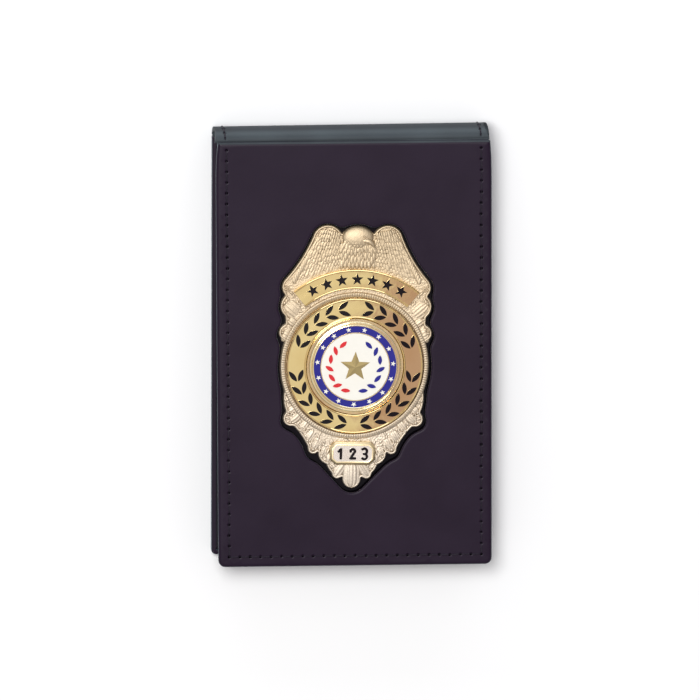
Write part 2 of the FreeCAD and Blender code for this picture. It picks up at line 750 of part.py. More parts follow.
def make_pin():
    """Pin on a riveted hinge, which swings out of a catch with a turning sleeve."""
    axis_z = -pin_drop
    ear_near = eye_width / 2 + ear_play
    bracket = pin_foot(hinge_x, foot_size / 2)
    for side in (1, -1):
        y_low = pin_y + (ear_near if side > 0 else -ear_near - ear_thickness)
        ear = box(hinge_x - ear_radius, hinge_x + ear_radius, y_low, y_low + ear_thickness, axis_z, 0)
        ear = ear.fuse(Part.makeCylinder(ear_radius, ear_thickness, Vec(hinge_x, y_low, axis_z), ALONG))
        bracket = bracket.fuse(ear)
    span = 2 * (ear_near + ear_thickness)
    rivet_low = pin_y - span / 2
    bracket = bracket.cut(Part.makeCylinder(rivet_radius, span, Vec(hinge_x, rivet_low, axis_z), ALONG))
    save("hinge_bracket", on_badge(bracket.removeSplitter()))

    rivet = Part.makeCylinder(rivet_radius, span, Vec(hinge_x, rivet_low, axis_z), ALONG)
    for y_low in (rivet_low - rivet_head, rivet_low + span):
        rivet = rivet.fuse(Part.makeCylinder(rivet_head_radius, rivet_head,
                                             Vec(hinge_x, y_low, axis_z), ALONG))
    save("hinge_rivet", on_badge(rivet))

    point = 4 * pin_radius
    stem = Part.makeCylinder(eye_radius, eye_width, Vec(hinge_x, pin_y - eye_width / 2, axis_z), ALONG)
    stem = stem.fuse(Part.makeCylinder(pin_radius, pin_tip_x - point - hinge_x,
                                       Vec(hinge_x, pin_y, axis_z), ACROSS))
    stem = stem.fuse(Part.makeCone(pin_radius, pin_radius / 4, point,
                                   Vec(pin_tip_x - point, pin_y, axis_z), ACROSS))
    stem = stem.cut(Part.makeCylinder(rivet_radius + rivet_play, span,
                                      Vec(hinge_x, rivet_low, axis_z), ALONG))
    save("pin_stem", on_badge(stem))

    # The housing and the sleeve in it are both slotted straight back, so the pin can leave them.
    x_low = catch_x - catch_length / 2
    bore = rotor_outer + catch_play
    deep = pin_drop + catch_outer
    slot = box(x_low - catch_length, catch_x + 2 * catch_length, pin_y - rotor_bore, pin_y + rotor_bore,
               axis_z - deep, axis_z)
    housing = Part.makeCylinder(catch_outer, catch_length, Vec(x_low, pin_y, axis_z), ACROSS)
    housing = housing.fuse(pin_foot(catch_x, catch_length / 2))
    housing = housing.cut(Part.makeCylinder(bore, foot_size, Vec(catch_x - foot_size / 2, pin_y, axis_z),
                                            ACROSS))
    save("catch_housing", on_badge(housing.cut(slot)))

    x_flange = x_low + catch_length + catch_play
    rotor = Part.makeCylinder(rotor_outer, catch_length + catch_play, Vec(x_low, pin_y, axis_z), ACROSS)
    rotor = rotor.fuse(Part.makeCylinder(rotor_flange, rotor_flange_thickness,
                                         Vec(x_flange, pin_y, axis_z), ACROSS))
    tab = box(x_flange, x_flange + rotor_flange_thickness, pin_y - rotor_tab_width / 2,
              pin_y + rotor_tab_width / 2, axis_z - rotor_tab_reach, axis_z - rotor_bore)
    tab.rotate(Vec(0, pin_y, axis_z), ACROSS, rotor_tab_angle)
    rotor = rotor.fuse(tab)
    rotor = rotor.cut(Part.makeCylinder(rotor_bore, 2 * catch_length, Vec(x_low, pin_y, axis_z), ACROSS))
    save("catch_rotor", on_badge(rotor.cut(slot)))


os.makedirs("parts", exist_ok=True)
make_back_cover()
make_front_cover()
make_spine()
make_pockets()
make_badge_shell()
make_panels()
make_seal()
make_pin()
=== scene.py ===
import json
import math
import random

import bmesh
import bpy
from mathutils import Matrix, Vector, noise
from mathutils.geometry import delaunay_2d_cdt
from mathutils.kdtree import KDTree


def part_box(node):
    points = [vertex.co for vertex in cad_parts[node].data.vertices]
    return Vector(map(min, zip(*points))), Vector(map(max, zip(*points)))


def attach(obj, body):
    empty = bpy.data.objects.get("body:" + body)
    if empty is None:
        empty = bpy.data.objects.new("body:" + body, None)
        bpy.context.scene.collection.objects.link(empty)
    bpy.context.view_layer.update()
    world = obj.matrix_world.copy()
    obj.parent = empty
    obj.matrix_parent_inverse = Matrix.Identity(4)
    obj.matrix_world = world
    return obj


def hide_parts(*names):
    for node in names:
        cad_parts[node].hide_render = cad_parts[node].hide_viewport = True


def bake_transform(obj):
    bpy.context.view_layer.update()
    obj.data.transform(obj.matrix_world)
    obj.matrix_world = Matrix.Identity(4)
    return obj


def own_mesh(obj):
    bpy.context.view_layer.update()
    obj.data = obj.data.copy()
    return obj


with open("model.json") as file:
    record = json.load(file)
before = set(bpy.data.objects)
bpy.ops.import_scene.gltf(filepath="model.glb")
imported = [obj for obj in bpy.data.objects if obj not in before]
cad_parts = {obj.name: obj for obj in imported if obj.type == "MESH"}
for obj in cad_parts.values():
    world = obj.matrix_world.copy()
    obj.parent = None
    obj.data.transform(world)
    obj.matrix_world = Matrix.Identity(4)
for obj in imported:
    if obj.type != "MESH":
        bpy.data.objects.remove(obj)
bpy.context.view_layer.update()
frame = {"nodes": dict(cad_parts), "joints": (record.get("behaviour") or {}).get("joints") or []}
mm = 0.001


# Shared hand tools. Shapes are drawn in millimetres and scaled once, when they become pieces.

def boxOf(node):
    low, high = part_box(node)
    return low / mm, high / mm


def pieceFrom(name, bm, place=None):
    if place is not None:
        bm.transform(place)
    bm.transform(Matrix.Scale(mm, 4))
    bmesh.ops.recalc_face_normals(bm, faces=bm.faces)
    mesh = bpy.data.meshes.new(name)
    bm.to_mesh(mesh)
    bm.free()
    piece = bpy.data.objects.new(name, mesh)
    bpy.context.scene.collection.objects.link(piece)
    return piece


def pickOnly(piece):
    bpy.ops.object.select_all(action="DESELECT")
    piece.select_set(True)
    bpy.context.view_layer.objects.active = piece


def smoothed(piece, degrees):
    pickOnly(piece)
    bpy.ops.object.shade_smooth_by_angle(angle=math.radians(degrees))
    return piece


def withModifier(piece, kind, **settings):
    pickOnly(piece)
    modifier = piece.modifiers.new(kind.lower(), kind)
    for key, value in settings.items():
        setattr(modifier, key, value)
    bpy.ops.object.modifier_apply(modifier=modifier.name)
    return piece


def dressed(piece, material, body, slot, *nodes):
    piece.data.materials.clear()
    piece.data.materials.append(material)
    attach(piece, body)
    if nodes:
        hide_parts(*nodes)
    return piece


def ray(degrees):  # one unit in a direction
    return Vector((math.cos(math.radians(degrees)), math.sin(math.radians(degrees))))


def addLoop(bm, loop, z):
    return [bm.verts.new((point.x, point.y, z)) for point in loop]


def bridge(bm, first, second):
    count = len(first)
    for index in range(count):
        after = (index + 1) % count
        bm.faces.new((first[index], first[after], second[after], second[index]))


def bridgeOn(bm, last, rings):  # rings of points with their heights, each joined to the one before
    for loop, z in rings:
        here = addLoop(bm, loop, z)
        bridge(bm, last, here)
        last = here
    return last


def offsetLoop(loop, amount):  # outwards on an anticlockwise loop
    moved = []
    for index, here in enumerate(loop):
        before = loop[index - 1]
        after = loop[(index + 1) % len(loop)]
        along = ((here - before).normalized() + (after - here).normalized()).normalized()
        moved.append(here + Vector((along.y, -along.x)) * amount)
    return moved


def resampled(loop, step):
    lengths = [(loop[index] - loop[index - 1]).length for index in range(len(loop))]
    total = sum(lengths)
    count = round(total / step)
    points = []
    index = 0
    passed = 0.0
    for mark in range(count):
        target = total * mark / count
        while passed + lengths[(index + 1) % len(loop)] < target:
            passed += lengths[(index + 1) % len(loop)]
            index += 1
        start = loop[index % len(loop)]
        end = loop[(index + 1) % len(loop)]
        share = (target - passed) / max(lengths[(index + 1) % len(loop)], 1e-9)
        points.append(start.lerp(end, share))
    return points


def softened(loop, times):
    for _ in range(times):
        loop = [(loop[index - 1] + here * 2 + loop[(index + 1) % len(loop)]) / 4
                for index, here in enumerate(loop)]
    return loop


def insideLoop(loop, x, y):
    inside = False
    for index, here in enumerate(loop):
        before = loop[index - 1]
        if (here.y > y) != (before.y > y):
            if x < (before.x - here.x) * (y - here.y) / (before.y - here.y) + here.x:
                inside = not inside
    return inside


def roundedLoop(low, high, radii, perSide=30, perCorner=6):  # anticlockwise from the lower right
    corners = [(high.x, -1, low.y, 1, -90), (high.x, -1, high.y, -1, 0),
               (low.x, 1, high.y, -1, 90), (low.x, 1, low.y, 1, 180)]
    arcs = []
    for radius, (x, inX, y, inY, start) in zip(radii, corners):
        centre = Vector((x + inX * radius, y + inY * radius))
        turns = [start + 90 * step / perCorner for step in range(perCorner + 1)]
        arcs.append([centre + ray(turn) * radius for turn in turns])
    loop = []
    for index, arc in enumerate(arcs):
        loop += arc
        nextStart = arcs[(index + 1) % 4][0]
        loop += [arc[-1].lerp(nextStart, step / perSide) for step in range(1, perSide)]
    return loop


def meshOf(node):  # a CAD node's mesh in millimetres, with its split corners joined again
    bm = bmesh.new()
    bm.from_mesh(frame["nodes"][node].data)
    bmesh.ops.remove_doubles(bm, verts=bm.verts, dist=1e-7)
    bm.transform(Matrix.Scale(1 / mm, 4) @ frame["nodes"][node].matrix_world)
    return bm


def rimOf(node, level, up):  # outlines of a CAD node's flat face at one height, outermost first
    bm = meshOf(node)
    bm.normal_update()
    flat = [face for face in bm.faces
            if face.normal.z * up > 0.99 and abs(face.calc_center_median().z - level) < 0.01]
    chosen = set(flat)
    steps = {}
    for face in flat:
        for loop in face.loops:
            if not any(other in chosen for other in loop.edge.link_faces if other != face):
                steps[loop.vert.index] = loop.link_loop_next.vert.index
    bm.verts.ensure_lookup_table()
    rims = []
    while steps:
        start, here = steps.popitem()
        ring = [start]
        while here != start:
            ring.append(here)
            here = steps.pop(here)
        rims.append([bm.verts[index].co.xy for index in ring])
    bm.free()
    rims.sort(key=lambda rim: max(point.x for point in rim), reverse=True)
    return rims


def anticlockwise(loop):
    area = sum(loop[index - 1].x * here.y - here.x * loop[index - 1].y for index, here in enumerate(loop))
    return loop if area > 0 else loop[::-1]


def straight(start, end, steps):
    return [start.lerp(end, step / steps) for step in range(steps + 1)]


def addTube(bm, points, radii, sides, lift=Vector((0, 0, 1))):  # its UV map runs along it in millimetres
    uvLayer = bm.loops.layers.uv.verify()
    last = len(points) - 1
    rings = []
    for index, here in enumerate(points):
        along = (points[min(index + 1, last)] - points[max(index - 1, 0)]).normalized()
        side = along.cross(lift).normalized()
        rise = side.cross(along)
        ring = []
        for step in range(sides):
            turn = 2 * math.pi * step / sides
            ring.append(bm.verts.new(here + (side * math.cos(turn) + rise * math.sin(turn)) * radii[index]))
        rings.append(ring)
    run = 0.0
    for index in range(last):
        first = rings[index]
        second = rings[index + 1]
        length = (points[index + 1] - points[index]).length
        for step in range(sides):
            after = (step + 1) % sides
            face = bm.faces.new((first[step], first[after], second[after], second[step]))
            spots = ((run, step), (run, step + 1), (run + length, step + 1), (run + length, step))
            for loop, (u, v) in zip(face.loops, spots):
                loop[uvLayer].uv = (u, v / sides)
        run += length
    bm.faces.new(rings[0][::-1])
    bm.faces.new(rings[-1])


# Materials

def linear(hexText):
    values = []
    for start in (0, 2, 4):
        value = int(hexText[start:start + 2], 16) / 255
        values.append(value / 12.92 if value <= 0.04045 else ((value + 0.055) / 1.055) ** 2.4)
    return (*values, 1.0)


def addNode(material, kind, inputs=None, stops=(), **settings):  # stops: place and colour along a ramp
    node = material.node_tree.nodes.new("ShaderNode" + kind)
    for key, value in settings.items():
        setattr(node, key, value)
    for key, value in (inputs or {}).items():
        if isinstance(value, bpy.types.Node):  # a node stands for its first output
            value = value.outputs[0]
        if isinstance(value, bpy.types.NodeSocket):
            material.node_tree.links.new(value, node.inputs[key])
        else:
            node.inputs[key].default_value = value
    if stops:
        elements = node.color_ramp.elements
        while len(elements) < len(stops):
            elements.new(0.5)
        for element, (spot, color) in zip(elements, stops):
            element.position = spot
            element.color = color
    return node


def startMaterial(name):
    material = bpy.data.materials.new(name)
    material.use_nodes = True
    material.node_tree.nodes.clear()
    return material


def endMaterial(material, shader):
    addNode(material, "OutputMaterial", {"Surface": shader})
    return material


def blackLeather(name, dyeDark, dyeLight, rough, gloss, sheen, grainMm=0.55, bumpShare=0.25, sheenBands=None):
    # Dyed and buffed cowhide: almost black, with a faint plum cast, soft gloss and a very fine closed grain.
    # Its nap turns blue-grey where it is seen along the surface, as on the rolled edges. The pores are drawn
    # coarser than real ones, so that they show.
    material = startMaterial(name)
    place = addNode(material, "TexCoord").outputs["Object"]
    cloud = addNode(material, "TexNoise", {"Vector": place, "Scale": 1 / (14 * mm), "Detail": 4.0})
    grain = addNode(material, "TexVoronoi", {"Vector": place, "Scale": 1 / (grainMm * mm)},
                    feature="SMOOTH_F1")
    pores = addNode(material, "TexNoise", {"Vector": place, "Scale": 1 / (0.22 * mm), "Detail": 3.0})
    amount = cloud
    if sheenBands:  # painted sheen: paler bands round two heights and painted shade between them
        height = addNode(material, "SeparateXYZ", {"Vector": place}).outputs["Z"]
        above = addNode(material, "Math", {0: height, 1: sheenBands["middle"] * mm}, operation="SUBTRACT")
        away = addNode(material, "Math", {0: above}, operation="ABSOLUTE")
        past = addNode(material, "Math", {0: away, 1: sheenBands["off"] * mm}, operation="SUBTRACT")
        gap = addNode(material, "Math", {0: past}, operation="ABSOLUTE")
        rubbed = addNode(material, "MapRange", {
            "Value": gap, "From Min": 0.0, "From Max": sheenBands["reach"] * mm,
            "To Min": 0.45, "To Max": 0.0}, interpolation_type="SMOOTHSTEP")
        amount = addNode(material, "Math", {0: amount, 1: 0.5, 2: rubbed}, operation="MULTIPLY_ADD")
    dye = addNode(material, "ValToRGB", {"Fac": amount}, ((0.0, linear(dyeDark)), (1.0, linear(dyeLight))))
    worn = addNode(material, "MapRange", {
        "Value": cloud, "From Min": 0.3, "From Max": 0.7, "To Min": rough - 0.04, "To Max": rough + 0.05})
    relief = addNode(material, "Math", {0: grain, 1: pores}, operation="ADD")
    bump = addNode(material, "Bump", {"Height": relief, "Strength": bumpShare, "Distance": 0.03 * mm})
    shader = addNode(material, "BsdfPrincipled", {
        "Base Color": dye, "Roughness": worn, "Normal": bump, "Specular IOR Level": gloss,
        "Sheen Weight": sheen, "Sheen Roughness": 0.35, "Sheen Tint": linear("b4dcec")})
    return endMaterial(material, shader)


def waxedThread(plyMm=0.5, plies=2):
    # Waxed polyester twine: as dark as the leather beside it, with a slanted two-ply twist.
    material = startMaterial("waxed polyester thread, twisted")
    spot = addNode(material, "UVMap")
    parts = addNode(material, "SeparateXYZ", {"Vector": spot})
    slope = addNode(material, "Math", {0: parts.outputs["X"], 1: 1 / plyMm}, operation="MULTIPLY")
    twist = addNode(material, "Math", {0: slope, 1: parts.outputs["Y"]}, operation="ADD")
    wave = addNode(material, "Math", {0: twist, 1: plies * 2 * math.pi}, operation="MULTIPLY")
    ply = addNode(material, "Math", {0: wave}, operation="SINE")
    # The tone follows the ply's height: the grooves of the twist are painted darker, as shade.
    tone = addNode(material, "ValToRGB", {"Fac": ply}, ((0.0, linear("140e18")), (1.0, linear("261c2c"))))
    bump = addNode(material, "Bump", {"Height": ply, "Strength": 0.6, "Distance": 0.05 * mm})
    shader = addNode(material, "BsdfPrincipled", {
        "Base Color": tone, "Normal": bump, "Roughness": 0.55, "Specular IOR Level": 0.25})
    return endMaterial(material, shader)


def struckMetal(name, pebbleShare):
    # Pale gold plate over a die-struck relief: satin, pebbled in the ground, warmer at the crest than at the
    # tip. The recesses are darkened where ambient occlusion finds them: painted shade, also standing for
    # antiquing tone left there.
    material = startMaterial(name)
    place = addNode(material, "TexCoord").outputs["Object"]
    pebble = addNode(material, "TexVoronoi", {"Vector": place, "Scale": 1 / (0.5 * mm), "Smoothness": 0.5},
                     feature="SMOOTH_F1")
    cloud = addNode(material, "TexNoise", {"Vector": place, "Scale": 1 / (5 * mm), "Detail": 3.0})
    # painted shade: ambient occlusion darkens the colour in the hollows
    hollow = addNode(material, "AmbientOcclusion", {"Distance": 0.7 * mm}, samples=8)
    shade = addNode(material, "ValToRGB", {"Fac": hollow.outputs["AO"]},
                    ((0.15, linear("a8967c")), (0.75, linear("ffffff"))))
    parts = addNode(material, "SeparateXYZ", {"Vector": place})
    along = addNode(material, "MapRange", {
        "Value": parts.outputs["Y"], "From Min": -35 * mm, "From Max": 25 * mm})
    plating = addNode(material, "ValToRGB", {"Fac": along},
                      ((0.0, linear("d0c4b3")), (1.0, linear("c9b698"))))
    tone = addNode(material, "VectorMath", {0: plating, 1: shade}, operation="MULTIPLY")
    rough = addNode(material, "MapRange", {
        "Value": cloud, "From Min": 0.3, "From Max": 0.7, "To Min": 0.54, "To Max": 0.64})
    bump = addNode(material, "Bump", {"Height": pebble, "Strength": pebbleShare, "Distance": 0.16 * mm})
    shader = addNode(material, "BsdfPrincipled", {
        "Base Color": tone, "Roughness": rough, "Normal": bump, "Metallic": 1.0})
    return endMaterial(material, shader)


def polishedMetal(name, toneA, toneB, roughLow, roughHigh, waveShare):
    # Buffed plate: a mirror, or a satin where it is rougher, with faint polishing swirls, so that reflections
    # wander a little.
    material = startMaterial(name)
    place = addNode(material, "TexCoord").outputs["Object"]
    cloud = addNode(material, "TexNoise", {"Vector": place, "Scale": 1 / (7 * mm), "Detail": 2.0})
    swirl = addNode(material, "TexNoise", {"Vector": place, "Scale": 1 / (2.4 * mm), "Detail": 2.0})
    scratch = addNode(material, "TexNoise", {"Vector": place, "Scale": 1 / (0.15 * mm), "Detail": 2.0})
    tone = addNode(material, "ValToRGB", {"Fac": cloud}, ((0.35, linear(toneA)), (0.65, linear(toneB))))
    rough = addNode(material, "MapRange", {
        "Value": scratch, "From Min": 0.35, "From Max": 0.65, "To Min": roughLow, "To Max": roughHigh})
    bump = addNode(material, "Bump", {"Height": swirl, "Strength": waveShare, "Distance": 0.1 * mm})
    shader = addNode(material, "BsdfPrincipled", {
        "Base Color": tone, "Roughness": rough, "Normal": bump, "Metallic": 1.0})
    return endMaterial(material, shader)


def hardEnamel(name, toneA, toneB, shine=0.5):
    # Fired glass ground flush: deep even colour with a wet gloss and a few faint clouds.
    material = startMaterial(name)
    place = addNode(material, "TexCoord").outputs["Object"]
    cloud = addNode(material, "TexNoise", {"Vector": place, "Scale": 1 / (1.5 * mm), "Detail": 3.0})
    tone = addNode(material, "ValToRGB", {"Fac": cloud}, ((0.0, linear(toneA)), (1.0, linear(toneB))))
    bump = addNode(material, "Bump", {"Height": cloud, "Strength": 0.12, "Distance": 0.05 * mm})
    shader = addNode(material, "BsdfPrincipled", {
        "Base Color": tone, "Normal": bump, "Roughness": 0.16, "Specular IOR Level": shine,
        "Coat Weight": shine * 0.8, "Coat Roughness": 0.05})
    return endMaterial(material, shader)


def softPlastic(name, toneA, toneB, roughness, grainMm):
    # Laminated card or pressed board: even, faintly mottled, with a fine unevenness that breaks its gloss.
    material = startMaterial(name)
    place = addNode(material, "TexCoord").outputs["Object"]
    cloud = addNode(material, "TexNoise", {"Vector": place, "Scale": 1 / (9 * mm), "Detail": 4.0})
    grain = addNode(material, "TexNoise", {"Vector": place, "Scale": 1 / (grainMm * mm), "Detail": 2.0})
    tone = addNode(material, "ValToRGB", {"Fac": cloud}, ((0.0, linear(toneA)), (1.0, linear(toneB))))
    bump = addNode(material, "Bump", {"Height": grain, "Strength": 0.15, "Distance": 0.03 * mm})
    shader = addNode(material, "BsdfPrincipled", {
        "Base Color": tone, "Normal": bump, "Roughness": roughness})
    return endMaterial(material, shader)


def clearVinyl():
    # Thin clear vinyl: what lies behind stays plain to see, under a broken gloss from its slight waviness.
    material = startMaterial("clear vinyl film, calendered")
    place = addNode(material, "TexCoord").outputs["Object"]
    wave = addNode(material, "TexNoise", {"Vector": place, "Scale": 1 / (11 * mm), "Detail": 2.0})
    bump = addNode(material, "Bump", {"Height": wave, "Strength": 0.4, "Distance": 0.4 * mm})
    gloss = addNode(material, "BsdfPrincipled", {
        "Base Color": linear("eef1f2"), "Normal": bump, "Roughness": 0.1})
    plain = addNode(material, "BsdfTransparent", {"Color": linear("fafbfb")})
    facing = addNode(material, "LayerWeight", {"Blend": 0.12, "Normal": bump})
    share = addNode(material, "MapRange", {
        "Value": facing, "From Min": 0.0, "From Max": 1.0, "To Min": 0.05, "To Max": 0.8})
    both = addNode(material, "MixShader", {0: share, 1: plain, 2: gloss})
    return endMaterial(material, both)


coverLeather = blackLeather("dyed cowhide, smooth", "160b1a", "1e1123", 0.42, 0.15, 0.2)
# The fold leather's pale blue-grey is painted sheen: light from behind reflected along the fold and the
# rolled edge, with painted shade between its two bands.
foldSheenLeather = blackLeather("dyed cowhide, painted fold sheen", "2c2f33", "51595d", 0.6, 0.08, 0.0,
                           sheenBands={"middle": 8.0, "off": 5.0, "reach": 2.6})
innerLeather = blackLeather("lining calf, matt", "121015", "19161c", 0.62, 0.15, 0.1, 0.7, 0.4)
# The recess floor's leather is darker than the lining: painted shade in the gap round the badge.
recessShadeLeather = blackLeather("lining calf, painted recess shade", "0b080c", "100c12", 0.7, 0.1, 0.0, 0.7, 0.4)
# Black edge paint, glossless, its tone darker than the leather as painted shade in the needle holes and on
# the badge recess's wall.
edgePaintShade = blackLeather("cut leather edge, edge paint and painted shade", "070508", "0b080c", 0.8, 0.0, 0.0, 0.4, 0.3)
threadTwist = waxedThread()
groundGold = struckMetal("pale gold plate, die struck and pebbled", 0.6)
reliefGold = struckMetal("pale gold plate, die struck and wiped", 0.2)
polishedGold = polishedMetal("gold plate, buffed", "fde2a2", "f8da98", 0.06, 0.12, 0.35)
paleGold = polishedMetal("pale gold plate, buffed", "fbe9c0", "f5e0b2", 0.1, 0.18, 0.3)
satinGold = polishedMetal("pale gold plate, satin", "f0dcb2", "e8d2a4", 0.38, 0.48, 0.2)
whiteMetal = polishedMetal("white rhodium plate, buffed", "f4ece0", "ece3d4", 0.24, 0.34, 0.15)
nickelSteel = polishedMetal("nickel-plated steel, drawn", "cfcdc8", "bdbbb6", 0.2, 0.34, 0.3)
blackEnamel = hardEnamel("hard enamel, black", "0d090b", "161013", 0.15)
blueEnamel = hardEnamel("hard enamel, blue", "1a1a70", "22247e", 0.3)
redEnamel = hardEnamel("hard enamel, red", "b4141c", "cc2228")
whiteEnamel = hardEnamel("hard enamel, white", "d6d3c9", "dcd9d0")
cardPlastic = softPlastic("white card, laminated", "cccdce", "d4d4d5", 0.35, 0.5)
pressedBoard = softPlastic("fibre board, pressed", "8f8b80", "a5a095", 0.85, 0.25)
clearFilm = clearVinyl()
print("materials ready")


# Where the badge lies: its frame in the CAD, and the same frame turned to the lean that the photo shows

lean = {"turn": 0.65, "shift": -0.15}  # degrees and millimetres
recess = {"left": 2.0, "right": 1.45, "below": 5.0, "step": 0.6, "smooth": 4}  # widest gaps below a height


def badgePlace():
    low, high = boxOf("ring_panel")
    middle = (low + high) / 2
    low, high = boxOf("number_plate")
    up = (middle - (low + high) / 2).xy
    level = boxOf("recess_floor")[1].z
    return Matrix.Translation((middle.x, middle.y, level)) @ Matrix.Rotation(math.atan2(-up.x, up.y), 4, "Z")


badgeCad = badgePlace()
badgeAt = badgeCad @ Matrix.Rotation(math.radians(lean["turn"]), 4, "Z")
badgeLevel = badgeAt.translation.z


def inBadge(loop):
    back = badgeCad.inverted()
    return [(back @ point.to_3d()).xy for point in loop]


def recessLoop():  # the cut-out in the leather, drawn closer round the badge's lower half
    outline = resampled(inBadge(rimOf("badge_shell", badgeLevel, -1)[0]), recess["step"] / 2)
    rims = rimOf("recess_board", boxOf("recess_board")[1].z, 1)
    loop = softened(resampled(inBadge(anticlockwise(rims[-1])), recess["step"]), recess["smooth"])
    moved = []
    for point in loop:
        nearest = min(outline, key=lambda spot: (spot - point).length)
        widest = recess["left"] if point.x < 0 else recess["right"]
        if point.y < recess["below"]:
            point = nearest + (point - nearest) * min(1.0, widest / (point - nearest).length)
        moved.append(point)
    shift = Vector((lean["shift"], 0))
    return [(badgeAt @ (point + shift).to_3d()).xy for point in softened(moved, recess["smooth"])]


# Leather panels: a skin with needle holes, rolled down over the edge to a turned-in rim

needle = {"depth": 0.8, "raw": 0.06, "rawReach": 0.4, "pitch": 2.8, "around": 8,
          "rings": ((0.28, 1.0), (0.36, 0.1), (0.5, 0.0), (0.75, 0.0))}  # reach and share of the depth
skin = {"grid": 3.5, "margin": 0.3, "clearOfHoles": 1.2, "clearOfCut": 1.0, "wave": 26}


def stitchLine(start, end, pitch):
    return straight(start, end, max(round((end - start).length / pitch), 1))


def needlePoints(dots):  # rings of points round each needle hole, with how far each lies down
    points = []
    for dot in dots:
        points.append((dot, needle["depth"]))
        for reach, share in needle["rings"]:
            for step in range(needle["around"]):
                out = ray(360 * step / needle["around"])
                points.append((dot + out * reach, needle["depth"] * share))
    return points


def gridPoints(edge, hole, dots):  # an even grid over the sheet, clear of its holes
    lowX = min(point.x for point in edge)
    highX = max(point.x for point in edge)
    lowY = min(point.y for point in edge)
    highY = max(point.y for point in edge)
    points = []
    for column in range(1, int((highX - lowX) / skin["grid"])):
        for row in range(1, int((highY - lowY) / skin["grid"])):
            spot = Vector((lowX + column * skin["grid"], lowY + row * skin["grid"]))
            clear = all((spot - dot).length > skin["clearOfHoles"] for dot in dots)
            if clear and hole:
                away = min((spot - point).length for point in hole)
                clear = away >= skin["clearOfCut"] and not insideLoop(hole, *spot)
            if clear:
                points.append((spot, 0.0))
    return points


def addSkin(bm, edge, hole, dots, z, swell=0.0):  # a flat sheet with a cut-out and needle holes
    hole = hole or []
    bounds = list(edge) + list(hole)
    lines = [(index, (index + 1) % len(edge)) for index in range(len(edge))]
    lines += [(len(edge) + index, len(edge) + (index + 1) % len(hole)) for index in range(len(hole))]
    inner = needlePoints(dots)
    for loop, inset in ((edge, -skin["margin"]), (hole, skin["margin"])):  # keeps it flat up to its edges
        inner += [(point, 0.0) for point in offsetLoop(loop, inset)]
    inner += gridPoints(edge, hole, dots)
    points = bounds + [point for point, _ in inner]
    verts, _, faces, origin, _, _ = delaunay_2d_cdt(points, lines, [], 1, 1e-5, True)
    made = {}
    order = []
    for spot, sources in zip(verts, origin):
        source = sources[0] if sources else 0
        rise = 0.0
        if source >= len(bounds):
            wave = noise.noise(Vector((spot.x / skin["wave"], spot.y / skin["wave"], z)))
            rise = swell * wave - inner[source - len(bounds)][1]
        vert = bm.verts.new((spot.x, spot.y, z + rise))
        order.append(vert)
        for source in sources:
            made[source] = vert
    for face in faces:
        middle = sum((verts[index] for index in face), Vector((0, 0))) / len(face)
        if insideLoop(edge, *middle) and not insideLoop(hole, *middle):
            bm.faces.new([order[index] for index in face])
    rims = [made[index] for index in range(len(bounds))]
    return rims[:len(edge)], rims[len(edge):]


def slanted(point, low, high, pinch):  # a cover cut by hand: its sides lean and its ends lie a little askew
    away = (high.y - point.y) / (high.y - low.y)
    share = (point.x - low.x) / (high.x - low.x)
    start, end = pinch["slant"]
    shift = (start + (end - start) * away) * (1 - share) + pinch["flare"] * away * share
    return Vector((point.x + shift, point.y - pinch["skew"] * point.x))


def pulledIn(loop, low, high, pinch):  # the sides are drawn in at the fold as well
    moved = []
    for point in loop:
        near = math.exp(-(high.y - point.y) / pinch["reach"])
        share = (point.x - low.x) / (high.x - low.x)
        shift = (pinch["left"] * (1 - share) - pinch["right"] * share) * near
        moved.append(slanted(point, low, high, pinch) + Vector((shift, 0)))
    return moved


def panelRing(low, high, panel, inset, under=0.0):  # below its lip the wall stands back from the fold
    lowEdge = Vector((low.x + inset, low.y + inset))
    highEdge = Vector((high.x - inset, high.y - inset - under))
    loop = roundedLoop(lowEdge, highEdge, [max(radius - inset, 0.25) for radius in panel["corners"]])
    return pulledIn(loop, low, high, panel["pinch"])


def quarterRound(radius, turns):  # inset and height at some turns down a rounded edge
    return [(radius * (1 - ray(turn).y), radius * (ray(turn).x - 1)) for turn in turns]


def wallProfile(panel, thick):  # inset and height below the rolled edge: down, under the rim and up inside
    taper = panel["taper"]
    under = taper + panel["rim"]
    return [(0.04, -panel["roll"] - 0.15), (taper * 0.35, -thick * 0.45), (taper, 0.5 - thick),
            (taper + 0.12, 0.15 - thick), (taper + 0.4, -thick), (under, -thick), (under, -panel["leather"])]


def coverPanel(name, low, high, faceUp, panel, dots, hole=None, holeDepth=0.0):
    bm = bmesh.new()
    lip = []
    cut = None
    if hole:
        cut = offsetLoop(hole, -panel["cutGap"])
        lip = [(offsetLoop(hole, inset - panel["holeSkin"]), z)
               for inset, z in quarterRound(panel["lip"], (0, 30, 60, 90))]
    outline = panelRing(low, high, panel, panel["roll"])
    edge, rim = addSkin(bm, outline, lip[0][0] if hole else None, dots, 0.0, panel["swell"])
    rings = [(panelRing(low, high, panel, inset), z)
             for inset, z in quarterRound(panel["roll"], (22.5, 45, 67.5, 90))]
    rings += [(panelRing(low, high, panel, inset, panel["under"]), z)
              for inset, z in wallProfile(panel, high.z - low.z)]
    bridgeOn(bm, edge, rings)
    if hole:
        bridgeOn(bm, rim, lip[1:] + [(offsetLoop(hole, -panel["holeSkin"]), -holeDepth), (cut, -holeDepth),
                                     (cut, -panel["leather"])])
    addSkin(bm, rings[-1][0], cut, [], -panel["leather"])
    bmesh.ops.remove_doubles(bm, verts=bm.verts, dist=1e-4)
    flip = Matrix.Diagonal((1, 1, 1 if faceUp else -1, 1))
    level = high.z if faceUp else low.z
    return pieceFrom(name, bm, Matrix.Translation((0, 0, level)) @ flip)


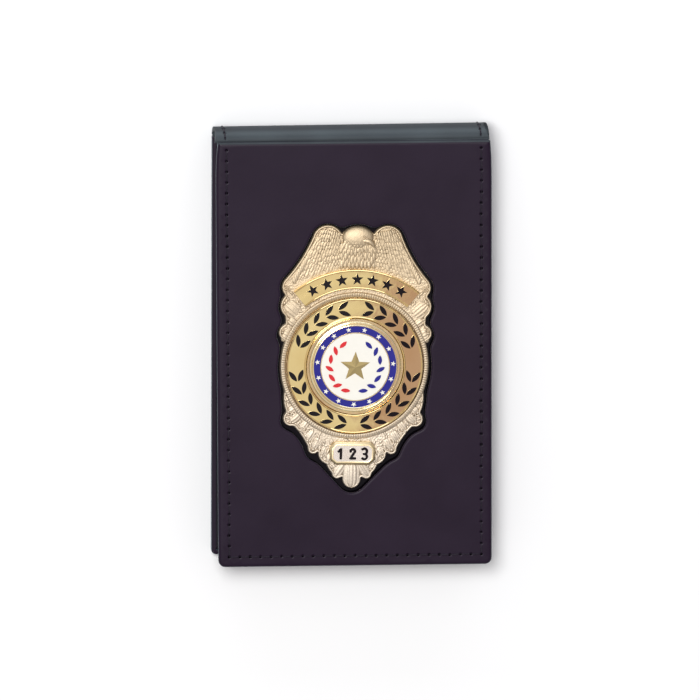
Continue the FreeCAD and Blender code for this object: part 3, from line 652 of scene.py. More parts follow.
stitching = {"thick": 0.4, "sink": 0.55, "inset": 2.9, "fold": 2.1, "wander": 0.07,
             "pitches": (2.9, 2.83, 3.04), "steps": 8, "sides": 6,
             "proud": 0.2, "endShare": 0.62,  # shares of the thread's thickness
             "arch": 1.25, "fill": 1.6}  # how soon a stitch is up and full


def addStitch(bm, start, end, lift):  # one stitch, drawn into the leather at both ends
    thick = stitching["thick"]
    sink = stitching["sink"]
    points = []
    radii = []
    for step in range(stitching["steps"] + 1):
        share = step / stitching["steps"]
        arch = math.sin(math.pi * share)
        rise = -sink + (sink + thick * stitching["proud"]) * min(1.0, stitching["arch"] * arch)
        full = min(1.0, stitching["fill"] * arch)
        points.append(start.lerp(end, share) + lift * rise)
        radii.append(thick * (stitching["endShare"] + (1 - stitching["endShare"]) * full) / 2)
    side = (end - start).cross(lift).normalized()
    addTube(bm, points, radii, stitching["sides"], side.cross((end - start).normalized()))


def seamDots(low, high, rng, pinch):  # left, bottom and right rows of one cover, as needle holes
    inset = stitching["inset"]
    topLeft = Vector((low.x + inset, high.y - stitching["fold"]))
    bottomLeft = Vector((low.x + inset, low.y + inset))
    bottomRight = Vector((high.x - inset, low.y + inset))
    topRight = Vector((high.x - inset, high.y - stitching["fold"]))
    rows = []
    lines = ((topLeft, bottomLeft), (bottomLeft, bottomRight), (bottomRight, topRight))
    for (start, end), pitch in zip(lines, stitching["pitches"]):
        row = stitchLine(start, end, pitch)
        for dot in row[1:-1]:
            dot += Vector((rng.uniform(-1, 1), rng.uniform(-1, 1))) * stitching["wander"]
        rows.append([slanted(dot, low, high, pinch) for dot in row])
    return rows


def seamPiece(name, rows, level, lift):
    bm = bmesh.new()
    for row in rows:
        for start, end in zip(row, row[1:]):
            addStitch(bm, Vector((*start, level)), Vector((*end, level)), lift)
    return smoothed(pieceFrom(name, bm), 60)


def darkHoles(piece, dots, level, faceUp):  # the raw leather inside each needle hole takes no shine, and its darker tone is painted shade
    near = KDTree(len(dots))
    for index, dot in enumerate(dots):
        near.insert(dot.to_3d(), index)
    near.balance()
    piece.data.materials.append(edgePaintShade)
    for face in piece.data.polygons:
        middle = face.center / mm
        inside = middle.z < level if faceUp else middle.z > level
        if inside and near.find(middle.xy.to_3d())[2] < needle["rawReach"]:
            face.material_index = 1


frontPanel = {
    "roll": 0.9, "corners": (1.9, 0.5, 0.4, 1.9), "taper": 0.9, "rim": 1.2, "leather": 1.2, "lip": 0.45,
    "trim": 0.3, "holeSkin": 0.3, "cutGap": 0.02, "swell": 0.05, "lift": 0.45, "under": 0.45,
    "nearCut": 0.1, "painted": 0.35, "rubbed": 1.0, "rubbedLean": (0.3, 0.9), "layerGap": 0.35,
    "openingHalf": 30,
    "pinch": {"left": 0.8, "right": 0.45, "reach": 3.0, "slant": (-0.3, 0.7), "flare": 0.45, "skew": 0.005},
}
backPanel = {
    "roll": 0.9, "corners": (2.0, 0.5, 0.5, 1.2), "taper": 0.0, "rim": 1.2, "leather": 1.2, "swell": 0.05,
    "under": 0.0,
    "pinch": {"left": 0.0, "right": 0.5, "reach": 3.0, "slant": (0.0, 0.0), "flare": 0.0, "skew": 0.0},
}


def frontBox():
    low, high = boxOf("front_leather")
    low.y += frontPanel["trim"]
    high.y += frontPanel["lift"]
    return low, high


def makeFrontCover(rng):
    low, high = frontBox()
    hole = recessLoop()
    rows = seamDots(low, high, rng, frontPanel["pinch"])
    dots = rows[0] + rows[1][1:-1] + rows[2]
    depth = high.z - boxOf("recess_floor")[1].z
    front = coverPanel("front_cover_leather", low, high, True, frontPanel, dots, hole, depth)
    dressed(smoothed(front, 40), coverLeather, "front_cover", "black_leather", "front_leather")
    darkHoles(front, dots, high.z - needle["raw"], True)
    front.data.materials.append(foldSheenLeather)
    grown = offsetLoop(hole, frontPanel["nearCut"])
    flat, steep = frontPanel["rubbedLean"]
    for face in front.data.polygons:  # the recess wall gets the black edge paint, darker than the leather as painted shade; the edge along the fold gets the pale fold leather as a painted highlight
        middle = face.center / mm
        if middle.z < high.z - frontPanel["painted"] and insideLoop(grown, middle.x, middle.y):
            face.material_index = 1
        leans = flat < face.normal.y < steep
        if leans and middle.y > high.y - frontPanel["rubbed"] and middle.z > high.z - frontPanel["rubbed"]:
            face.material_index = 2
    seam = seamPiece("front_cover_stitches", rows, high.z, Vector((0, 0, 1)))
    dressed(seam, threadTwist, "front_cover", "black_thread", "front_seam_thread")


def makeBackCover(rng):
    low, high = boxOf("back_leather")
    rows = seamDots(low, high, rng, backPanel["pinch"])
    dots = rows[0] + rows[1][1:-1] + rows[2]
    back = coverPanel("back_cover_leather", low, high, False, backPanel, dots)
    dressed(smoothed(back, 40), coverLeather, "back_cover", "black_leather", "back_leather")
    darkHoles(back, dots, low.z + needle["raw"], False)
    seam = seamPiece("back_cover_stitches", rows, low.z, Vector((0, 0, -1)))
    dressed(seam, threadTwist, "back_cover", "black_thread", "back_seam_thread")


coverRng = random.Random(7)
makeFrontCover(coverRng)
makeBackCover(coverRng)
print("covers made")


# Spine, creases and everything inside the covers

spine = {"arc": 24.0, "rollRadius": 1.0, "rollTurn": 122.0, "leather": 1.2, "lining": 0.8, "keep": 0.25,
         "endTrim": 0.5, "ends": ((-0.5, 0.25), (0.0, -1.2)), "seamInset": 2.4, "creaseThick": 0.7,
         "edge": 0.15, "fine": 0.25, "clear": 2.5, "spans": 20, "dimple": (0.6, 0.4), "raw": 0.5,
         "rollLeast": 0.12, "arcSteps": 12, "rollSteps": 8, "crownReach": 3.0, "upperReach": 4.0,
         "liningGap": 0.02, "liningTrim": (0.6, 1.4), "rowPast": 3}
creaseForm = {"start": (0.2, 0.15, 0.9), "end": (-0.3, -1.0, 0.5),  # from the axis: along, out, inwards
              "slope": 0.2, "across": 8, "along": 12}


def jointPlace(name):
    found = [joint for joint in frame["joints"] if joint["name"] == name][0]
    return Vector(found["pos_m"]) / mm


def spineCircle():  # centre and outer radius of the arch, from its height and reach
    high = boxOf("spine_leather")[1]
    middle = (jointPlace("front_fold").z + jointPlace("back_fold").z) / 2
    halfChord = jointPlace("front_fold").z - middle
    bulge = high.y - spine["leather"] / 2 - jointPlace("front_fold").y
    radius = (halfChord ** 2 + bulge ** 2) / (2 * bulge)
    centre = Vector((jointPlace("front_fold").y + bulge - radius, middle))
    return centre, radius + spine["leather"] / 2


def spineProfile(inset):  # points (y, z) from the back crease up over the arch to the front crease
    centre, radius = spineCircle()
    arc = spine["arc"]
    upper = [centre + ray(arc * step / spine["arcSteps"]) * (radius - inset)
             for step in range(spine["arcSteps"] + 1)]
    rollCentre = centre + ray(arc) * (radius - spine["rollRadius"])
    rollSize = max(spine["rollRadius"] - inset, spine["rollLeast"])
    for step in range(1, spine["rollSteps"] + 1):
        upper.append(rollCentre + ray(arc + spine["rollTurn"] * step / spine["rollSteps"]) * rollSize)
    lower = [Vector((point.x, 2 * centre.y - point.y)) for point in upper[1:]]
    return lower[::-1] + upper


def addStrip(bm, outer, inner, xs, ends=((0.0, 0.0), (0.0, 0.0))):
    # two facing profiles, swept along X; each end row is moved by one amount at the upper crease and by
    # another at the crown
    reach = max(point.x for point in outer)
    middle = sum(point.y for point in outer) / len(outer)
    moves = {0: ends[0], len(xs) - 1: ends[1]}
    rows = []
    for index, x in enumerate(xs):
        crease, crown = moves.get(index, (0.0, 0.0))
        row = []
        for point in outer + inner[::-1]:
            share = max(0.0, 1 - (reach - point.x) / spine["crownReach"])
            upper = min(1.0, max(0.0, (point.y - middle) / spine["upperReach"]))
            row.append(bm.verts.new((x + crease * upper * (1 - share) + crown * share, point.x, point.y)))
        rows.append(row)
    for first, second in zip(rows, rows[1:]):
        bridge(bm, first, second)
    half = len(outer)
    for row in (rows[0], rows[-1]):
        for index in range(half - 1):
            bm.faces.new((row[index], row[index + 1], row[-2 - index], row[-1 - index]))


def dimpled(bm, spots, reach, depth):  # presses needle holes into a fine part of a strip
    for vert in bm.verts:
        for spot, out in spots:
            far = (vert.co - spot).length
            if far < reach:
                vert.co -= out * depth * (1 - (far / reach) ** 2)


def spineRow(x):  # stitch points over the arch with their outward directions
    centre, radius = spineCircle()
    half = spine["arc"] + spine["rowPast"]
    count = round(radius * math.radians(2 * half) / needle["pitch"])
    row = []
    for index in range(count + 1):
        out = Vector((0, *ray(-half + 2 * half * index / count)))
        row.append((Vector((x, centre.x, centre.y)) + out * radius, out))
    return row


def softSpine(piece, material, slot, *nodes):
    dressed(piece, material, "spine", slot, *nodes)
    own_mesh(piece)


def spineStations(left, right):  # places along the strip, close together beside each stitch row
    inset = spine["seamInset"]
    near = [offset * spine["fine"] for offset in range(-4, 5)]
    first = left + inset + spine["clear"]
    last = right - inset - spine["clear"]
    spans = [first + (last - first) * step / spine["spans"] for step in range(spine["spans"] + 1)]
    return ([left, left + spine["edge"]] + [left + inset + offset for offset in near] + spans
            + [right - inset + offset for offset in near] + [right - spine["edge"], right])


def makeStrip(left, right):
    rows = [spineRow(left + spine["seamInset"]), spineRow(right - spine["seamInset"])]
    holes = rows[0] + rows[1]
    bm = bmesh.new()
    addStrip(bm, spineProfile(0.0), spineProfile(spine["leather"]), spineStations(left, right), spine["ends"])
    dimpled(bm, holes, *spine["dimple"])
    leather = smoothed(pieceFrom("spine_strip_leather", bm), 40)
    # the pale fold leather is painted sheen along the arch, with painted shade at its crown
    softSpine(leather, foldSheenLeather, "black_leather", "spine_leather")
    leather.data.materials.append(edgePaintShade)
    for face in leather.data.polygons:  # raw leather shows in the needle holes, glossless and darker as painted shade
        if any((face.center / mm - spot).length < spine["raw"] for spot, _ in holes):
            face.material_index = 1

    bm = bmesh.new()
    under = spine["leather"] + spine["liningGap"]
    stations = [left + spine["liningTrim"][0], 0.0, right - spine["liningTrim"][1]]
    addStrip(bm, spineProfile(under), spineProfile(under + spine["lining"]), stations)
    lining = smoothed(pieceFrom("spine_strip_lining", bm), 40)
    softSpine(lining, innerLeather, "black_lining", "spine_lining")

    bm = bmesh.new()
    for row in rows:
        for (start, outStart), (end, outEnd) in zip(row, row[1:]):
            addStitch(bm, start, end, (outStart + outEnd).normalized())
    thread = smoothed(pieceFrom("spine_strip_stitches", bm), 60)
    softSpine(thread, threadTwist, "black_thread", "spine_thread")


def makeCrease(cover, side, left, right):  # thin leather that joins the strip to a cover
    axis = jointPlace(cover + "_fold")
    places = ((left, creaseForm["start"]), (right, creaseForm["end"]))
    start, end = [Vector((edge + along, axis.y + out, axis.z - side * inwards))
                  for edge, (along, out, inwards) in places]
    line = straight(start.yz, end.yz, creaseForm["across"])
    below = [point - Vector((creaseForm["slope"], side * spine["creaseThick"])) for point in line]
    spans = creaseForm["along"]
    stations = [start.x + (end.x - start.x) * step / spans for step in range(spans + 1)]
    bm = bmesh.new()
    addStrip(bm, line, below, stations)
    crease = smoothed(pieceFrom(cover + "_crease_leather", bm), 40)
    # its pale fold leather is painted sheen
    crease.data.materials.append(foldSheenLeather)
    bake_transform(crease)


def makeSpine():
    low, high = boxOf("spine_leather")
    right = high.x - spine["endTrim"]
    makeStrip(low.x, right)
    makeCrease("front", 1, low.x, right)
    makeCrease("back", -1, low.x, right)
    print("spine made")


def trimmedTo(bm, inset, spread=1.0):  # keeps a layer inside the front leather and widens its badge opening
    limit = panelRing(*frontBox(), frontPanel, inset)
    middle = badgeAt.translation.xy
    for vert in bm.verts:
        spot = vert.co.xy
        if not insideLoop(limit, spot.x, spot.y):
            vert.co.xy = min(limit, key=lambda point: (point - spot).length)
        elif abs(spot.x) < frontPanel["openingHalf"]:
            vert.co.xy = middle + (spot - middle) * spread


def softCopy(name, node, body, material, slot, bevel, inset=None):  # leather with its cut edges worn round
    bm = meshOf(node)
    if inset:
        trimmedTo(bm, inset)
    bmesh.ops.dissolve_limit(bm, angle_limit=math.radians(1), verts=bm.verts, edges=bm.edges)
    piece = pieceFrom(name, bm)
    withModifier(piece, "BEVEL", width=bevel * mm, segments=3, limit_method="ANGLE",
                 angle_limit=math.radians(40), harden_normals=False)
    withModifier(smoothed(piece, 35), "WEIGHTED_NORMAL", keep_sharp=True)
    return dressed(piece, material, body, slot, node)


def boardCopy(name, node, spread):
    bm = meshOf(node)
    trimmedTo(bm, frontPanel["taper"] + frontPanel["layerGap"], spread)
    dressed(smoothed(pieceFrom(name, bm), 30), pressedBoard, "front_cover", "grey_board", node)


def makeInside():
    boardCopy("recess_board_trimmed", "recess_board", spread=1.04)
    boardCopy("pin_pocket_pad_trimmed", "pin_pocket_pad", spread=1.0)
    # the darker floor leather is painted shade in the recess
    softCopy("recess_floor_leather", "recess_floor", "front_cover", recessShadeLeather, "black_lining",
             bevel=0.1, inset=frontPanel["taper"] + frontPanel["layerGap"])
    insets = {"front": frontPanel["taper"] + frontPanel["rim"] - 0.05, "back": None}
    for cover in ("front", "back"):
        body = cover + "_cover"
        softCopy(cover + "_lining_leather", cover + "_lining", body, innerLeather, "black_lining",
                 bevel=0.15, inset=insets[cover])
        softCopy(cover + "_frame_leather", cover + "_window_frame", body, coverLeather, "black_leather",
                 bevel=0.3)
        low, high = boxOf(cover + "_frame_thread")
        half = stitching["thick"] / 2
        up = 1 if cover == "back" else -1
        level = high.z if up > 0 else low.z
        corners = [Vector((high.x, high.y - half)), Vector((low.x + half, high.y - half)),
                   Vector((low.x + half, low.y + half)), Vector((high.x, low.y + half))]
        rows = [stitchLine(start, end, needle["pitch"]) for start, end in zip(corners, corners[1:])]
        seam = seamPiece(cover + "_frame_stitches", rows, level - up * 0.1, Vector((0, 0, up)))
        dressed(seam, threadTwist, body, "black_thread", cover + "_frame_thread")
    print("inside made")


makeSpine()
makeInside()


# Badge: a struck shell with polished panels, modelled in its own frame and then set into the recess

def topOf(node):
    return boxOf(node)[1].z - badgeLevel


vane = {"widen": 1.3, "tip": 0.08, "low": 0.35, "from": 0.2, "span": 0.72, "dome": 0.75, "skirt": 0.35}


def vaneHalf(share, width, blunt, shoulder):  # half the width at a share of the length, rounded at the tip
    half = width / 2 * min(1.0, shoulder + vane["widen"] * share)
    if share > blunt:
        rounding = math.sqrt(max(0.0, 1 - ((share - blunt) / (1 - blunt)) ** 2))
        half *= rounding * (1 - vane["tip"]) + vane["tip"]
    return half


def addVane(bm, path, width, base, rise, flutes=1, groove=0.0, blunt=0.5, shoulder=0.6):
    # a feather or leaf lobe along a path of points, domed across and fluted along, closed below
    across = 4 * flutes + 1 if flutes > 1 else 5
    last = len(path) - 1
    tops = []
    lefts = []
    rights = []
    for index, here in enumerate(path):
        share = index / last
        along = (path[min(index + 1, last)] - path[max(index - 1, 0)]).normalized()
        out = Vector((along.y, -along.x)) * vaneHalf(share, width, blunt, shoulder)
        swell = math.sin(math.pi * min(1.0, vane["from"] + share * vane["span"]))
        lift = rise * (vane["low"] + (1 - vane["low"]) * swell)
        row = []
        for step in range(across):
            spot = 2 * step / (across - 1) - 1
            z = lift * (1 - vane["dome"] * spot * spot)
            if flutes > 1:
                z -= groove * (0.5 + 0.5 * math.cos(math.pi * flutes * (spot + 1)))
            row.append(bm.verts.new((*(here + out * spot), base + z)))
        tops.append(row)
        lefts.append(bm.verts.new((*(here - out), base - vane["skirt"])))
        rights.append(bm.verts.new((*(here + out), base - vane["skirt"])))
    rings = [row + [right, left] for row, right, left in zip(tops, rights, lefts)]
    for first, second in zip(rings, rings[1:]):
        bridge(bm, first, second)
    bm.faces.new(rings[0][::-1])
    bm.faces.new(rings[-1])


def addDome(bm, centre, radii, rings=6, around=10):
    made = bmesh.ops.create_uvsphere(bm, u_segments=around, v_segments=rings, radius=1)
    place = Matrix.Translation(centre) @ Matrix.Diagonal((*radii, 1))
    bmesh.ops.transform(bm, matrix=place, verts=made["verts"])


def drawnCircle(name, points, fill):  # a circle whose points are moved onto an outline, left in edit mode
    bpy.ops.object.select_all(action="DESELECT")
    bpy.ops.mesh.primitive_circle_add(vertices=len(points), fill_type=fill, calc_uvs=False,
                                      location=(0, 0, 0))
    piece = bpy.context.object
    piece.name = name
    piece.data.name = name
    for vert, point in zip(piece.data.vertices, points):
        vert.co = point
    bpy.ops.object.mode_set(mode="EDIT")
    bpy.ops.mesh.select_all(action="SELECT")
    return piece


def setInBadge(piece):  # closed up, faces turned outwards, then moved into the recess
    bpy.ops.mesh.select_all(action="SELECT")
    bpy.ops.mesh.remove_doubles(threshold=0.0001)
    bpy.ops.mesh.normals_make_consistent(inside=False)
    bpy.ops.object.mode_set(mode="OBJECT")
    piece.data.transform(Matrix.Scale(mm, 4) @ badgeAt)
    return piece


def spunPiece(name, profile, steps, half=180.0):  # a closed profile (radius, z) spun about the badge's middle
    points = [(*(ray(90 + half) * radius), z) for radius, z in profile]
    piece = drawnCircle(name, points, "NOTHING" if half >= 180 else "NGON")
    bpy.ops.mesh.spin(steps=steps, angle=math.radians(2 * half), center=(0, 0, 0), axis=(0, 0, 1))
    return setInBadge(piece)


def raisedPiece(name, outline, level, rise, steps):  # an outline filled, raised, then inset step by step
    piece = drawnCircle(name, [(point.x, point.y, level) for point in outline], "NGON")
    bpy.ops.mesh.extrude_region_move(TRANSFORM_OT_translate={"value": (0, 0, rise)})
    for inset, lift in steps:
        bpy.ops.mesh.inset(thickness=inset, depth=lift)
    return setInBadge(piece)


shell = {"plate": 0.95, "rimInset": 0.42, "rimRadius": 0.36, "rope": 19.3, "ropeHalf": 0.75, "ropeRise": 0.45,
         "reeds": 190, "reedRise": 0.2, "foot": 0.3, "step": 0.36, "wall": ((0.0, -0.25), (0.07, -0.08)),
         "bevel": 0.2, "headHalf": 4.0, "headLow": 30, "wiped": 0.05}
sprig = {"count": 110, "x": (0.5, 20), "y": (-29, 20), "turn": 1.1, "half": (0.55, 0.95),
         "rise": (0.16, 0.28), "width": 0.75, "offRim": 0.9, "offRope": 1.4}
wingInner = [Vector((4.9, 35.3)), Vector((4.2, 30.5)), Vector((4.3, 26.3))]
wingOuter = [Vector((10.1, 36.0)), Vector((13.4, 30.3)), Vector((18.0, 22.3))]
wing = {"rows": 11, "first": 8, "last": 16, "reach": 0.15, "step": 0.06, "rise": 0.13, "coverts": 20,
        "lowest": 0.84, "climb": 0.95, "covertFrom": -0.08, "covertSpan": 1.02, "covertTip": (0.88, 0.15),
        "covertWidth": 1.1, "covertLift": 0.18, "covertRise": 0.22}
breast = {"rows": 5, "count": 9, "low": 27.6, "step": 1.15, "across": 1.05, "spread": 1.04, "half": 1.2,
          "lift": 0.15, "climb": 0.1, "width": 1.15, "rise": 0.28}
neck = {"rows": 6, "count": 9, "low": 31.6, "step": 0.72, "half": 4.7, "narrow": 0.42, "root": (0.9, 0.6),
        "tip": 0.75, "lift": 0.6, "sunk": 0.2, "width": 1.0, "rise": 0.22}
head = {  # the dome's place and radii, the eye's, and places with radii along the beak and the brow
    "y": 34.95, "lift": 0.1, "radii": (4.2, 3.2, 1.2), "eye": (1.6, 34.9, 2.05),
    "eyeRadii": (0.34, 0.3, 0.25),
    "beak": ((1.4, 34.3, 1.4, 0.8), (2.9, 34.1, 1.7, 0.78), (3.9, 33.4, 1.65, 0.62), (4.35, 32.5, 1.5, 0.4),
             (4.2, 31.8, 1.4, 0.1)),
    "brow": ((0.3, 35.4, 2.1, 0.14), (1.5, 35.5, 2.12, 0.26), (2.9, 34.9, 1.85, 0.12)),
}
lobes = [  # tip, length, width and flutes of the leaf lobes down the right edge
    ((19.3, 17.0), 4.6, 4.6, 5), ((18.2, 12.6), 2.6, 2.4, 3), ((19.6, 8.9), 3.6, 4.4, 5),
    ((18.3, -9.6), 2.4, 2.6, 3), ((17.4, -12.8), 2.6, 2.4, 3), ((16.9, -15.6), 3.0, 2.6, 3),
    ((14.2, -17.8), 2.8, 2.4, 3), ((12.2, -20.6), 3.0, 2.4, 3), ((10.6, -23.0), 3.4, 2.4, 3),
    ((8.2, -24.9), 2.6, 1.9, 3), ((6.5, -26.7), 2.4, 1.8, 3),
]
scrolls = [  # place, size, start and hand of the rolled leaf ends on the right
    (16.3, -13.4, 1.15, 20, 1), (13.3, -17.4, 1.25, 60, 1), (10.0, -20.9, 1.2, 100, -1),
    (8.2, -23.4, 0.95, 160, -1), (18.6, 14.7, 0.95, 0, 1), (18.9, 20.6, 1.0, 200, -1),
]
scroll = {"steps": 24, "turns": 1.4, "close": 0.82, "lift": 0.05, "climb": 0.3, "thick": 0.22, "thin": 0.07}
fan = {"y": -25.6, "middle": (31.05, 2.5), "side": (4.0, 29.6, 1.42),  # round ends: place and radius
       "sideRoot": 1.4, "lift": 0.12, "trim": 0.15, "middleTrim": 0.2}
leafForm = {"rise": 0.42, "groove": 0.13, "blunt": 0.55, "shoulder": 0.8}
fanSideForm = {"rise": 0.5, "flutes": 3, "groove": 0.14, "blunt": 0.66, "shoulder": 0.5}
fanMiddleForm = {"rise": 0.6, "flutes": 5, "groove": 0.14, "blunt": 0.66, "shoulder": 0.55}


def wingPoint(side, across, along):
    def bend(points):
        return points[0].lerp(points[1], along).lerp(points[1].lerp(points[2], along), along)

    point = bend(wingInner).lerp(bend(wingOuter), across)
    return Vector((side * point.x, point.y))


def addWing(bm, side, rng):
    for layer in range(wing["rows"]):  # the lowest row first, each row over the one below it
        share = layer / (wing["rows"] - 1)
        start = wing["lowest"] - wing["climb"] * share
        count = round(wing["last"] + (wing["first"] - wing["last"]) * share)
        width = (wingPoint(side, 1, start) - wingPoint(side, 0, start)).length / count
        for index in range(count):
            across = min((index + 0.35 + 0.5 * (layer % 2) + rng.uniform(-0.08, 0.08)) / count, 1.0)
            tip = start + wing["reach"] + rng.uniform(-0.05, 0.03)
            path = [wingPoint(side, across, start + (tip - start) * step / 5) for step in range(6)]
            base = shell["plate"] + wing["step"] * layer + rng.uniform(-0.07, 0.05)
            addVane(bm, path, width * rng.uniform(0.95, 1.3), base, wing["rise"], blunt=0.55)
    for index in range(wing["coverts"]):  # short feathers along the front edge of the wing
        along = wing["covertFrom"] + wing["covertSpan"] * index / wing["coverts"]
        root = wingPoint(side, 1.0, along)
        tip = wingPoint(side, wing["covertTip"][0], along + wing["covertTip"][1])
        addVane(bm, straight(root, tip, 5), wing["covertWidth"], shell["plate"] + wing["covertLift"],
                wing["covertRise"])


def addBreast(bm, rng):  # the upper rows lie over the lower ones
    for row in range(breast["rows"]):
        y = breast["low"] + row * breast["step"]
        count = breast["count"] - row % 2
        for index in range(count):
            x = (index - (count - 1) / 2) * breast["across"] + rng.uniform(-0.12, 0.12)
            root = Vector((x, y + breast["half"]))
            tip = Vector((x * breast["spread"], y - breast["half"]))
            base = shell["plate"] + breast["lift"] + breast["climb"] * row + rng.uniform(-0.08, 0.08)
            addVane(bm, straight(root, tip, 5), breast["width"], base, breast["rise"])


def addNeck(bm, rng, middle, radii):  # small feathers over the head's dome, each row over the one below it
    for row in range(neck["rows"]):
        y = neck["low"] + row * neck["step"]
        half = neck["half"] - row * neck["narrow"]
        count = neck["count"] - row % 2
        for index in range(count):
            x = half * (2 * index / (count - 1) - 1) + rng.uniform(-0.15, 0.15)
            inside = 1 - (x / radii.x) ** 2 - ((y - middle.y) / radii.y) ** 2
            dome = middle.z + radii.z * math.sqrt(max(inside, 0.0)) - neck["sunk"]
            root = Vector((x * neck["root"][0], y + neck["root"][1]))
            tip = Vector((x, y - neck["tip"] - rng.uniform(0.0, 0.2)))
            base = max(shell["plate"] + neck["lift"], dome)
            addVane(bm, straight(root, tip, 5), neck["width"], base, neck["rise"])


def addEagle(bm):
    rng = random.Random(11)
    for side in (-1, 1):
        addWing(bm, side, rng)
    addBreast(bm, rng)
    middle = Vector((0.0, head["y"], shell["plate"] + head["lift"]))
    radii = Vector(head["radii"])
    addDome(bm, middle, radii, 14, 32)
    addNeck(bm, rng, middle, radii)
    for spots, sides in ((head["beak"], 8), (head["brow"], 6)):
        addTube(bm, [Vector(spot[:3]) for spot in spots], [spot[3] for spot in spots], sides)
    addDome(bm, Vector(head["eye"]), head["eyeRadii"])


def addScroll(bm, centre, size, start, hand):  # a rolled leaf end
    points = []
    radii = []
    for step in range(scroll["steps"] + 1):
        share = step / scroll["steps"]
        turn = start + hand * share * scroll["turns"] * 360
        spot = centre + ray(turn) * size * (1 - scroll["close"] * share)
        points.append(Vector((*spot, shell["plate"] + scroll["lift"] + scroll["climb"] * share)))
        radii.append(size * (scroll["thick"] - scroll["thin"] * share))
    addTube(bm, points, radii, 6)


def addFoliage(bm):
    plate = shell["plate"]
    for side in (-1, 1):
        for (x, y), length, width, flutes in lobes:
            tip = Vector((side * x, y))
            reach = max(tip.length - length, shell["rope"] + 0.5)
            root = tip.normalized() * reach
            addVane(bm, straight(root, tip, 7), width, plate, flutes=flutes, **leafForm)
            addDome(bm, Vector((*tip, plate)), (0.5, 0.5, 0.5))
        for x, y, size, start, hand in scrolls:
            turn = start if side > 0 else 180 - start
            addScroll(bm, Vector((side * x, y)), size, turn, hand * side)
        x, y, radius = fan["side"]
        root = Vector((side * fan["sideRoot"], fan["y"]))
        end = Vector((side * x, -y))
        tip = end + (end - root).normalized() * (radius - fan["trim"])
        addVane(bm, straight(root, tip, 9), 2 * radius, plate, **fanSideForm)
    y, radius = fan["middle"]
    path = straight(Vector((0, fan["y"])), Vector((0, fan["trim"] - y - radius)), 11)
    addVane(bm, path, 2 * radius - fan["middleTrim"], plate + fan["lift"], **fanMiddleForm)


def addSprigs(bm, edge):  # small leaves strewn over the ground outside the rope, alike on both sides
    rng = random.Random(5)
    room = offsetLoop(edge, -sprig["offRim"])
    made = 0
    while made < sprig["count"]:
        spot = Vector((rng.uniform(*sprig["x"]), rng.uniform(*sprig["y"])))
        turn = math.atan2(spot.y, spot.x) + rng.uniform(-sprig["turn"], sprig["turn"])
        if spot.length < shell["rope"] + sprig["offRope"] or not insideLoop(room, spot.x, spot.y):
            continue
        half = ray(math.degrees(turn)) * rng.uniform(*sprig["half"])
        rise = rng.uniform(*sprig["rise"])
        for side in (-1, 1):
            path = [(spot + half * (step / 2 - 1)) * Vector((side, 1)) for step in range(5)]
            addVane(bm, path, sprig["width"], shell["plate"], rise)
        made += 1


def addRope(bm):  # the milled rope round the ring, with every other step raised
    foot = shell["plate"] - shell["foot"]
    half = shell["ropeHalf"]
    arch = [(shell["rope"] + half * ray(turn).x, shell["plate"] + shell["ropeRise"] * ray(turn).y)
            for turn in (0, 25, 50, 75, 105, 130, 155, 180)]
    profile = [(shell["rope"] + half, foot)] + arch + [(shell["rope"] - half, foot)]
    count = 2 * shell["reeds"]
    rows = []
    for step in range(count):
        out = ray(360 * step / count)
        row = []
        for index, (radius, z) in enumerate(profile):
            rise = shell["reedRise"] * (step % 2) if 1 < index < len(profile) - 2 else 0.0
            row.append(bm.verts.new((*(out * radius), z + rise)))
        rows.append(row)
    for index in range(count):
        bridge(bm, rows[index], rows[(index + 1) % count])


def withFan(loop):  # the tip of the outline swells into three round lobes
    tail = -fan["side"][1]
    count = len(loop)
    cut = [index for index in range(count) if loop[index].y < tail <= loop[index - 1].y][0]
    turned = loop[cut:] + loop[:cut]
    upper = [point for point in turned if point.y >= tail]
    x, y, radius = fan["side"]
    middleY, middleRadius = fan["middle"]
    ends = ((-x, -y, radius, 195, 285), (0, -middleY, middleRadius, 165, 375), (x, -y, radius, 255, 345))
    tip = []
    for centreX, centreY, size, first, last in ends:
        centre = Vector((centreX, centreY))
        tip += [centre + ray(first + (last - first) * step / 12) * size for step in range(13)]
    return tip + upper


def makeShell():
    bm = bmesh.new()
    rim = rimOf("badge_shell", badgeLevel, -1)[0]
    edge = softened(resampled(withFan(anticlockwise(inBadge(rim))), shell["step"]), 1)
    plate = shell["plate"]
    bottom, _ = addSkin(bm, edge, None, [], 0.0)
    last = bridgeOn(bm, bottom, [(offsetLoop(edge, -inset), plate + z) for inset, z in shell["wall"]])
    top, _ = addSkin(bm, offsetLoop(edge, -shell["bevel"]), None, [], plate)
    bridge(bm, last, top)
    ridge = [point.to_3d() + Vector((0, 0, plate)) for point in offsetLoop(edge, -shell["rimInset"])]
    crown = max(range(len(ridge)), key=lambda index: ridge[index].y - abs(ridge[index].x) * 10)
    ridge = [point for point in ridge[crown:] + ridge[:crown]  # open where the head stands
             if abs(point.x) > shell["headHalf"] or point.y < shell["headLow"]]
    addTube(bm, ridge, [shell["rimRadius"]] * len(ridge), 8)
    addEagle(bm)
    addFoliage(bm)
    addSprigs(bm, edge)
    addRope(bm)
    piece = smoothed(pieceFrom("badge_struck_shell", bm, badgeAt), 55)
    dressed(piece, groundGold, "front_cover", "pale_gold", "badge_shell")
    piece.data.materials.append(reliefGold)
    for face in piece.data.polygons:  # raised work is wiped smoother than the ground
        if face.center.z / mm - badgeLevel > plate + shell["wiped"]:
            face.material_index = 1


panels = {"bead": 0.23, "beadRise": 0.276, "cone": 0.085, "bed": 0.5, "sink": 0.03}
numberPlate = {"spread": 0.5, "wall": 0.55, "faceInset": 0.48, "faceDepth": 0.3, "faceWall": 0.2,
               "steps": ((0.08, 0.1), (0.52, 0.42), (0.2, 0.03), (0.2, -0.1)),  # inset and rise of each step
               "faceSteps": ((0.04, 0.05),)}


